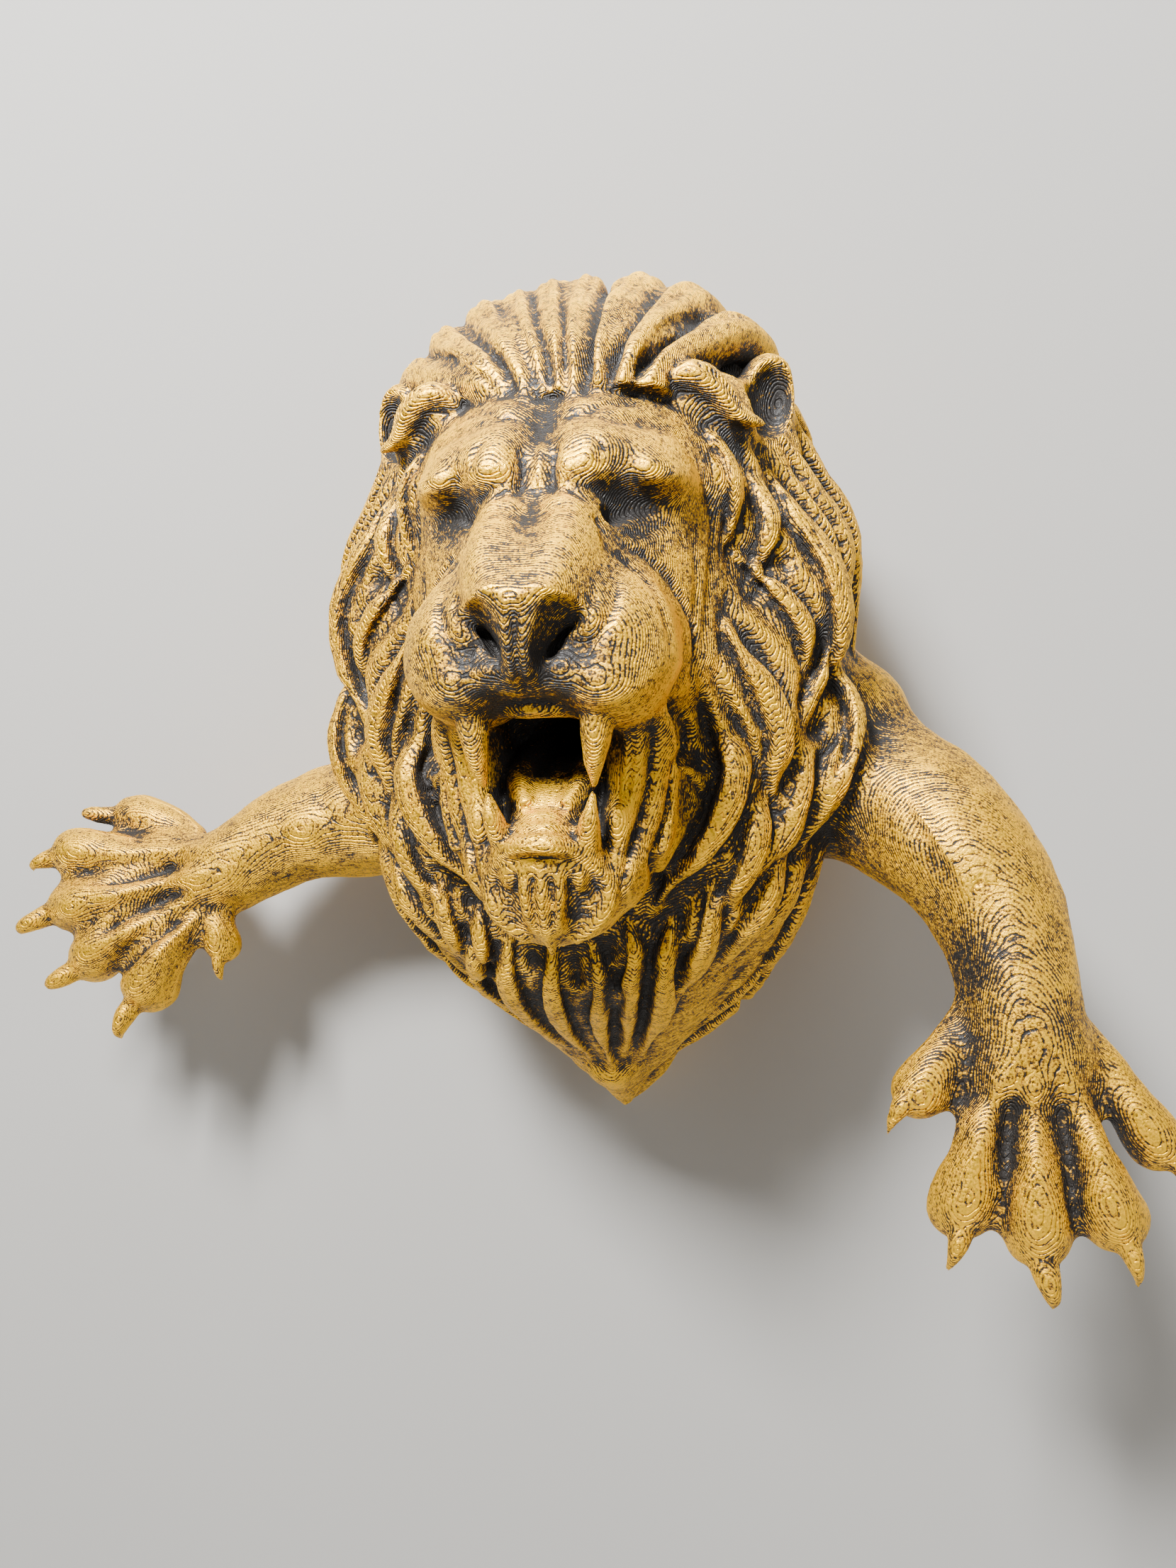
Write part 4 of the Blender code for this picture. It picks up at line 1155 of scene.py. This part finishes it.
@dataclass(frozen=True)
class GoldOverBlack:
    """Metallic gold acrylic, dry-brushed over black on a plastic filament print.

    The brush leaves gold on the lip of each of the print's layers and on every ridge.
    It misses the line at a layer's edge and the bottoms of grooves, and leaves less on
    the terrace between two lips, which is wide only where the surface is nearly parallel
    to the wall. Steep stretches close up to a satin gold.
    """

    name: str = "gold_acrylic_dry_brushed_on_black_print"
    gold_bright: str = "FFC81C"
    gold: str = "D69C2C"
    gold_deep: str = "50340E"
    black: str = "110B06"
    # real layers are about 0.24 mm, which is finer than the render shows
    layer_mm: float = 0.32
    # each layer's edge has a dark line, at most this wide on either side and this share
    # of the layer, and beside it a gold lip; the terrace beyond the lip is barer
    line_mm: float = 0.26
    line_share: float = 0.4
    lip_mm: float = 0.4
    terrace_mm: float = 1.3
    line_fade: Spot = (1.0, 0.2)
    # a layer is taken to be no flatter than this slope, and its line fades out where the
    # surface faces away from the viewer, between these two shares
    least_slope: float = 0.16
    line_shows: Spot = (0.08, 0.36)
    # the first two make the layers wander, and the others break up the gold
    wander: Grain = Grain(7.0, 2.0, 0.35 * MILLIMETRE)
    quiver: Grain = Grain(1.4, 1.0, 0.06 * MILLIMETRE)
    patch: Grain = Grain(9.0, 5.0, 0.8)
    speckle: Grain = Grain(0.45, 2.0, 1.1)
    grit: Grain = Grain(0.9, 3.0, 1.3)
    # dry bristles drag streaks that are longer than they are wide
    streak: Grain = Grain(0.8, 3.0, 1.9)
    streak_stretch: Place = (0.22, 1.0, 0.55)
    # what ridges add to the gold, what lines and terraces take, and where gold begins
    ridge_gain: float = 0.35
    line_loss: float = 0.62
    terrace_loss: float = 0.3
    gold_limits: Spot = (0.32, 0.8)
    shade_places: Place = (0.35, 0.75, 1.0)
    metallic: float = 0.93
    roughness: float = 0.62
    gold_gloss: float = 0.14
    bump_mm: float = 0.22
    bump_strength: float = 0.8
    bump_of_grains: float = 0.45

    def layers(
        self, tree: bpy.types.NodeTree, where: bpy.types.Node
    ) -> tuple[bpy.types.NodeSocket, bpy.types.NodeSocket]:
        """Adds the print's layers, which are steps of the distance from the wall.

        Args:
            tree: The node tree.
            where: The texture coordinates.

        Returns:
            How far a place is in the line at a layer's edge, and how far on the terrace.
        """
        place = where.outputs["Object"]
        depth = add_node(tree, "SeparateXYZ", (place,)).outputs["Y"]
        for grain in (self.wander, self.quiver):
            moved = (depth, grain.laid_over(tree, place))
            depth = add_node(tree, "Math", moved, operation="ADD").outputs[0]
        counted = (depth, self.layer_mm * MILLIMETRE)
        layer = add_node(tree, "Math", counted, operation="DIVIDE").outputs[0]
        # a layer ends at each whole number, and this is the distance from the nearest one
        off_edge = add_node(tree, "Math", (layer, 0.5), operation="PINGPONG").outputs[0]
        lean = add_node(tree, "SeparateXYZ", (where.outputs["Normal"],)).outputs["Y"]
        facing = add_node(tree, "Math", (lean,), operation="ABSOLUTE").outputs[0]
        turn = add_node(tree, "Math", (facing,), operation="ARCCOSINE").outputs[0]
        slope = add_node(tree, "Math", (turn,), operation="SINE").outputs[0]
        slope = add_node(tree, "Math", (slope, self.least_slope), operation="MAXIMUM").outputs[0]
        apart = add_node(tree, "Math", (off_edge, self.layer_mm), operation="MULTIPLY").outputs[0]
        apart = add_node(tree, "Math", (apart, slope), operation="DIVIDE").outputs[0]
        by_width = add_node(tree, "Math", (apart, self.line_mm), operation="DIVIDE").outputs[0]
        by_share = add_node(tree, "Math", (off_edge, self.line_share), operation="DIVIDE").outputs[0]
        off_line = add_node(tree, "Math", (by_width, by_share), operation="MAXIMUM").outputs[0]
        line, shows, terrace = (
            add_node(tree, "MapRange", (value, *limits), interpolation_type="SMOOTHSTEP").outputs[0]
            for value, limits in (
                (off_line, self.line_fade),
                (facing, self.line_shows),
                (apart, (self.lip_mm, self.terrace_mm)),
            )
        )
        line = add_node(tree, "Math", (line, shows), operation="MULTIPLY").outputs[0]
        return line, terrace

    def coloured(
        self, tree: bpy.types.NodeTree, gold: bpy.types.NodeSocket, shade: bpy.types.NodeSocket
    ) -> bpy.types.NodeSocket:
        """Adds the colour of the paint.

        Args:
            tree: The node tree.
            gold: How much gold there is over the black.
            shade: How thick and bright the gold is.

        Returns:
            The colour.
        """
        ramp = add_node(tree, "ValToRGB", (shade,))
        stops = ramp.color_ramp.elements
        stops.new(1.0)
        shades = (self.gold_deep, self.gold, self.gold_bright)
        for number, (position, colour) in enumerate(zip(self.shade_places, shades)):
            stops[number].position = position
            stops[number].color = linear(colour)
        inputs = {"Factor": gold, "A": linear(self.black), "B": ramp.outputs["Color"]}
        return add_node(tree, "Mix", inputs, data_type="RGBA").outputs["Result"]

    def made(self) -> bpy.types.Material:
        """Makes the material.

        Returns:
            The material, which reads the attributes cover and ridge.
        """
        material = bpy.data.materials.new(self.name)
        material.use_nodes = True
        tree = material.node_tree
        where = add_node(tree, "TexCoord")
        line, terrace = self.layers(tree, where)
        place = where.outputs["Object"]
        patch, speckle, grit = (
            grain.laid_over(tree, place) for grain in (self.patch, self.speckle, self.grit)
        )
        drawn = add_node(tree, "Mapping", {"Vector": place, "Scale": self.streak_stretch})
        streak = self.streak.laid_over(tree, drawn.outputs["Vector"])
        reached = add_node(tree, "Attribute", attribute_name="cover").outputs["Fac"]
        ridge = add_node(tree, "Attribute", attribute_name="ridge").outputs["Fac"]
        for part, gain in (
            (patch, 1.0), (speckle, 1.0), (grit, 1.0), (streak, 1.0),
            (ridge, self.ridge_gain), (line, -self.line_loss), (terrace, -self.terrace_loss),
        ):
            added = (part, gain, reached)
            reached = add_node(tree, "Math", added, operation="MULTIPLY_ADD").outputs[0]
        limited = (reached, *self.gold_limits)
        gold = add_node(tree, "MapRange", limited, interpolation_type="SMOOTHSTEP").outputs[0]
        shade = add_node(tree, "Math", (reached, speckle), operation="ADD").outputs[0]

        metal = add_node(tree, "Math", (gold, self.metallic), operation="MULTIPLY").outputs[0]
        glossy = (gold, -self.gold_gloss, self.roughness)
        rough = add_node(tree, "Math", glossy, operation="MULTIPLY_ADD").outputs[0]
        rough = add_node(tree, "Math", (rough, speckle), operation="ADD").outputs[0]
        height = add_node(tree, "Math", (speckle, grit), operation="ADD").outputs[0]
        height = add_node(tree, "Math", (height, self.bump_of_grains), operation="MULTIPLY").outputs[0]
        height = add_node(tree, "Math", (height, line), operation="SUBTRACT").outputs[0]
        raised = {"Height": height, "Strength": self.bump_strength,
                  "Distance": self.bump_mm * MILLIMETRE}
        bump = add_node(tree, "Bump", raised).outputs["Normal"]
        shader = tree.nodes["Principled BSDF"]
        colour = self.coloured(tree, gold, shade)
        surface = {"Base Color": colour, "Metallic": metal, "Roughness": rough, "Normal": bump}
        for name, socket in surface.items():
            tree.links.new(socket, shader.inputs[name])
        return material


@dataclass
class Lion:
    """The whole print, as one piece."""

    body: Body = field(default_factory=Body)
    face: Face = field(default_factory=Face)
    hair: Hair = field(default_factory=Hair)
    paws: tuple[Paw, ...] = (RIGHT_PAW, LEFT_PAW)
    feature_grain: float = 0.95
    hair_grain: float = 0.72
    fine_grain: float = 0.62
    # smoothing passes at each of these grains
    feature_smoothing: int = 3
    hair_smoothing: int = 1
    fine_smoothing: int = 5
    # passes that calm the skin after the tool has pressed it
    calming: int = 3
    # the unevenness of hand-modelled clay: size and height of the lumps
    waves: tuple[Spot, ...] = ((9.0, 1.0), (3.2, 0.15))
    # counted before the back is cut off flat, which leaves fewer than 200,000
    most_triangles: int = 208000

    def carved(self, mesh: bpy.types.Mesh, hollows: bpy.types.Mesh) -> bpy.types.Mesh:
        """Cuts the hollows out of a mesh."""
        cutter = in_scene("hollows", hollows)
        cutter.hide_render = True
        cutter.display_type = "WIRE"
        done = modified(mesh, ("BOOLEAN", {"operation": "DIFFERENCE", "object": cutter}))
        bpy.data.objects.remove(cutter)
        return done

    def uneven(self, size: float, height: float) -> tuple[str, dict]:
        """Gives a modifier that makes a skin uneven.

        Args:
            size: The size of the lumps in shares.
            height: Their height in shares.

        Returns:
            The type and the settings of the modifier.
        """
        clouds = bpy.data.textures.new("uneven", "CLOUDS")
        clouds.noise_scale = size * SHARE
        clouds.noise_depth = 1
        return "DISPLACE", {"texture": clouds, "strength": height * SHARE, "mid_level": 0.5}

    def flat_back(self, mesh: bpy.types.Mesh) -> None:
        """Cuts the figure off flat at the wall."""
        body = bmesh.new()
        body.from_mesh(mesh)
        geometry = body.verts[:] + body.edges[:] + body.faces[:]
        wall = {"plane_co": (0, 0, 0), "plane_no": (0, 1, 0)}
        bmesh.ops.bisect_plane(body, geom=geometry, clear_outer=True, **wall)
        rim = [edge for edge in body.edges if edge.is_boundary]
        bmesh.ops.holes_fill(body, edges=rim, sides=len(rim))
        bmesh.ops.recalc_face_normals(body, faces=body.faces)
        bmesh.ops.triangulate(body, faces=body.faces)
        body.to_mesh(mesh)
        body.free()

    def modelled(self) -> bpy.types.Mesh:
        """Models the figure, from masses to the last stroke.

        Returns:
            The closed mesh.
        """
        clay = Clay(self.body.fused())
        self.face.add(clay)
        for paw in self.paws:
            paw.add_toes(clay)
        bare = clay.fused(self.feature_grain, self.feature_smoothing)
        clay = Clay(bare)
        self.hair.mane(clay, bare, self.body.mane_core())
        furred = clay.fused(self.hair_grain, self.hair_smoothing, self.hair.closing)
        skin = self.carved(furred, self.face.hollows())
        log.info("mane laid and features carved: %d faces", len(skin.polygons))
        clay = Clay(skin)
        self.face.fill_mouth(clay)
        for paw in self.paws:
            paw.add_claws(clay)
        self.hair.crown(clay)
        mesh = clay.fused(self.fine_grain, self.fine_smoothing)
        log.info("locks laid: %d faces", len(mesh.polygons))
        skin = Skin(mesh)
        skin.draw(FACE_STROKES)
        skin.draw(LIMB_STROKES)
        skin.draw(self.hair.crown_gaps())
        self.hair.part(skin)
        skin.settle()
        calmed = ("SMOOTH", {"factor": 0.5, "iterations": self.calming})
        mesh = modified(mesh, calmed, *(self.uneven(*wave) for wave in self.waves))
        triangles = sum(len(polygon.vertices) - 2 for polygon in mesh.polygons)
        mesh = modified(mesh, ("DECIMATE", {"ratio": min(1.0, self.most_triangles / triangles)}))
        self.flat_back(mesh)
        return mesh

    def placed(self, finish: GoldOverBlack) -> bpy.types.Object:
        """Makes the piece, paints it and lets it ride.

        Args:
            finish: What it is painted with.

        Returns:
            The piece.
        """
        mesh = self.modelled()
        Paint(mesh).write()
        mesh.materials.clear()
        mesh.materials.append(finish.made())
        mesh.shade_smooth()
        mesh.name = "lion_print"
        piece = in_scene("lion_print", mesh)
        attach(piece, BODY)
        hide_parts(NODE)
        log.info("%s: %d triangles", piece.name, len(mesh.polygons))
        return piece


class Lamp(Enum):
    """The studio's lamps: place in metres, size in metres and power in watts."""

    KEY = ((-0.22, -0.62, 0.56), 0.22, 28.0)
    FILL = ((0.9, -0.8, 0.1), 0.8, 3.5)
    TOP = ((0.1, -0.2, 0.8), 0.4, 3.5)


@dataclass(frozen=True)
class Studio:
    """A pale wall and floor, soft light and a camera at the photograph's angle."""

    pale: str = "A6A4A0"
    matt: float = 0.9
    sky: str = "F0EEEA"
    wall_gap: float = 0.0006
    floor_drop: float = 0.42
    span: float = 4.0
    eye: Place = (0.05515, -0.29516, -0.0199)
    turn: float = 13.0
    # focal length in pixels over the photograph's long side, on a 36 mm sensor
    focal_pixels: float = 1600.0
    long_side_pixels: float = 2212.0
    sensor_mm: float = 36.0
    nearest: float = 0.01
    aim: Place = (0.0, -0.05, 0.0)
    ambient: float = 0.2

    def sheet(self, name: str, place: Vector, tilt: float) -> bpy.types.Object:
        """Lays out one flat sheet of the stage.

        Args:
            name: The object's name.
            place: Its middle.
            tilt: Its turn about X in degrees; 90 faces it to the viewer.

        Returns:
            The sheet.
        """
        plane = bmesh.new()
        turned = Matrix.Translation(place) @ Matrix.Rotation(math.radians(tilt), 4, "X")
        bmesh.ops.create_grid(plane, x_segments=1, y_segments=1, size=self.span / 2, matrix=turned)
        sheet = in_scene(name, mesh_of(plane, name))
        return sheet

    def pale_paint(self, clear_behind: bool) -> bpy.types.Material:
        """Makes matt emulsion; the wall's is clear from behind, so the back can be seen."""
        material = bpy.data.materials.new("matt_emulsion")
        material.use_nodes = True
        tree = material.node_tree
        shader = tree.nodes["Principled BSDF"]
        shader.inputs["Base Color"].default_value = linear(self.pale)
        shader.inputs["Roughness"].default_value = self.matt
        if clear_behind:
            clear = add_node(tree, "BsdfTransparent").outputs[0]
            behind = add_node(tree, "NewGeometry").outputs["Backfacing"]
            mixed = add_node(tree, "MixShader", (behind, shader.outputs[0], clear)).outputs[0]
            tree.links.new(mixed, tree.nodes["Material Output"].inputs["Surface"])
        return material

    def lamp(self, lamp: Lamp) -> None:
        """Hangs one soft lamp that looks at the lion."""
        place, size, power = lamp.value
        light = bpy.data.lights.new(lamp.name.lower(), "AREA")
        light.size = size
        light.energy = power
        hung = in_scene(lamp.name.lower(), light)
        hung.location = place
        hung.rotation_euler = (Vector(self.aim) - Vector(place)).to_track_quat("-Z", "Y").to_euler()

    def camera(self) -> None:
        """Sets up the camera."""
        camera = bpy.data.cameras.new("camera")
        camera.sensor_width = self.sensor_mm
        camera.lens = self.focal_pixels / self.long_side_pixels * self.sensor_mm
        camera.clip_start = self.nearest
        stand = in_scene("camera", camera)
        stand.location = self.eye
        stand.rotation_euler = (math.radians(90), 0, math.radians(self.turn))
        bpy.context.scene.camera = stand

    def build(self) -> None:
        """Builds the stage, the light and the camera."""
        wall = self.sheet("wall", Vector((0, self.wall_gap, self.span / 2 - self.floor_drop)), 90)
        wall.data.materials.append(self.pale_paint(True))
        floor = self.sheet("floor", Vector((0, 0, -self.floor_drop)), 0)
        floor.data.materials.append(self.pale_paint(False))
        for lamp in Lamp:
            self.lamp(lamp)
        world = bpy.data.worlds.new("studio")
        world.use_nodes = True
        background = world.node_tree.nodes["Background"]
        background.inputs["Strength"].default_value = self.ambient
        background.inputs["Color"].default_value = linear(self.sky)
        bpy.context.scene.world = world
        self.camera()
        log.info("studio: %d lamps", len(Lamp))


def main() -> None:
    """Builds the studio and the lion, and reports each piece."""
    logging.basicConfig(level=logging.INFO, format="%(name)s: %(message)s")
    Studio().build()
    Lion().placed(GoldOverBlack())


if __name__ == "__main__":
    main()
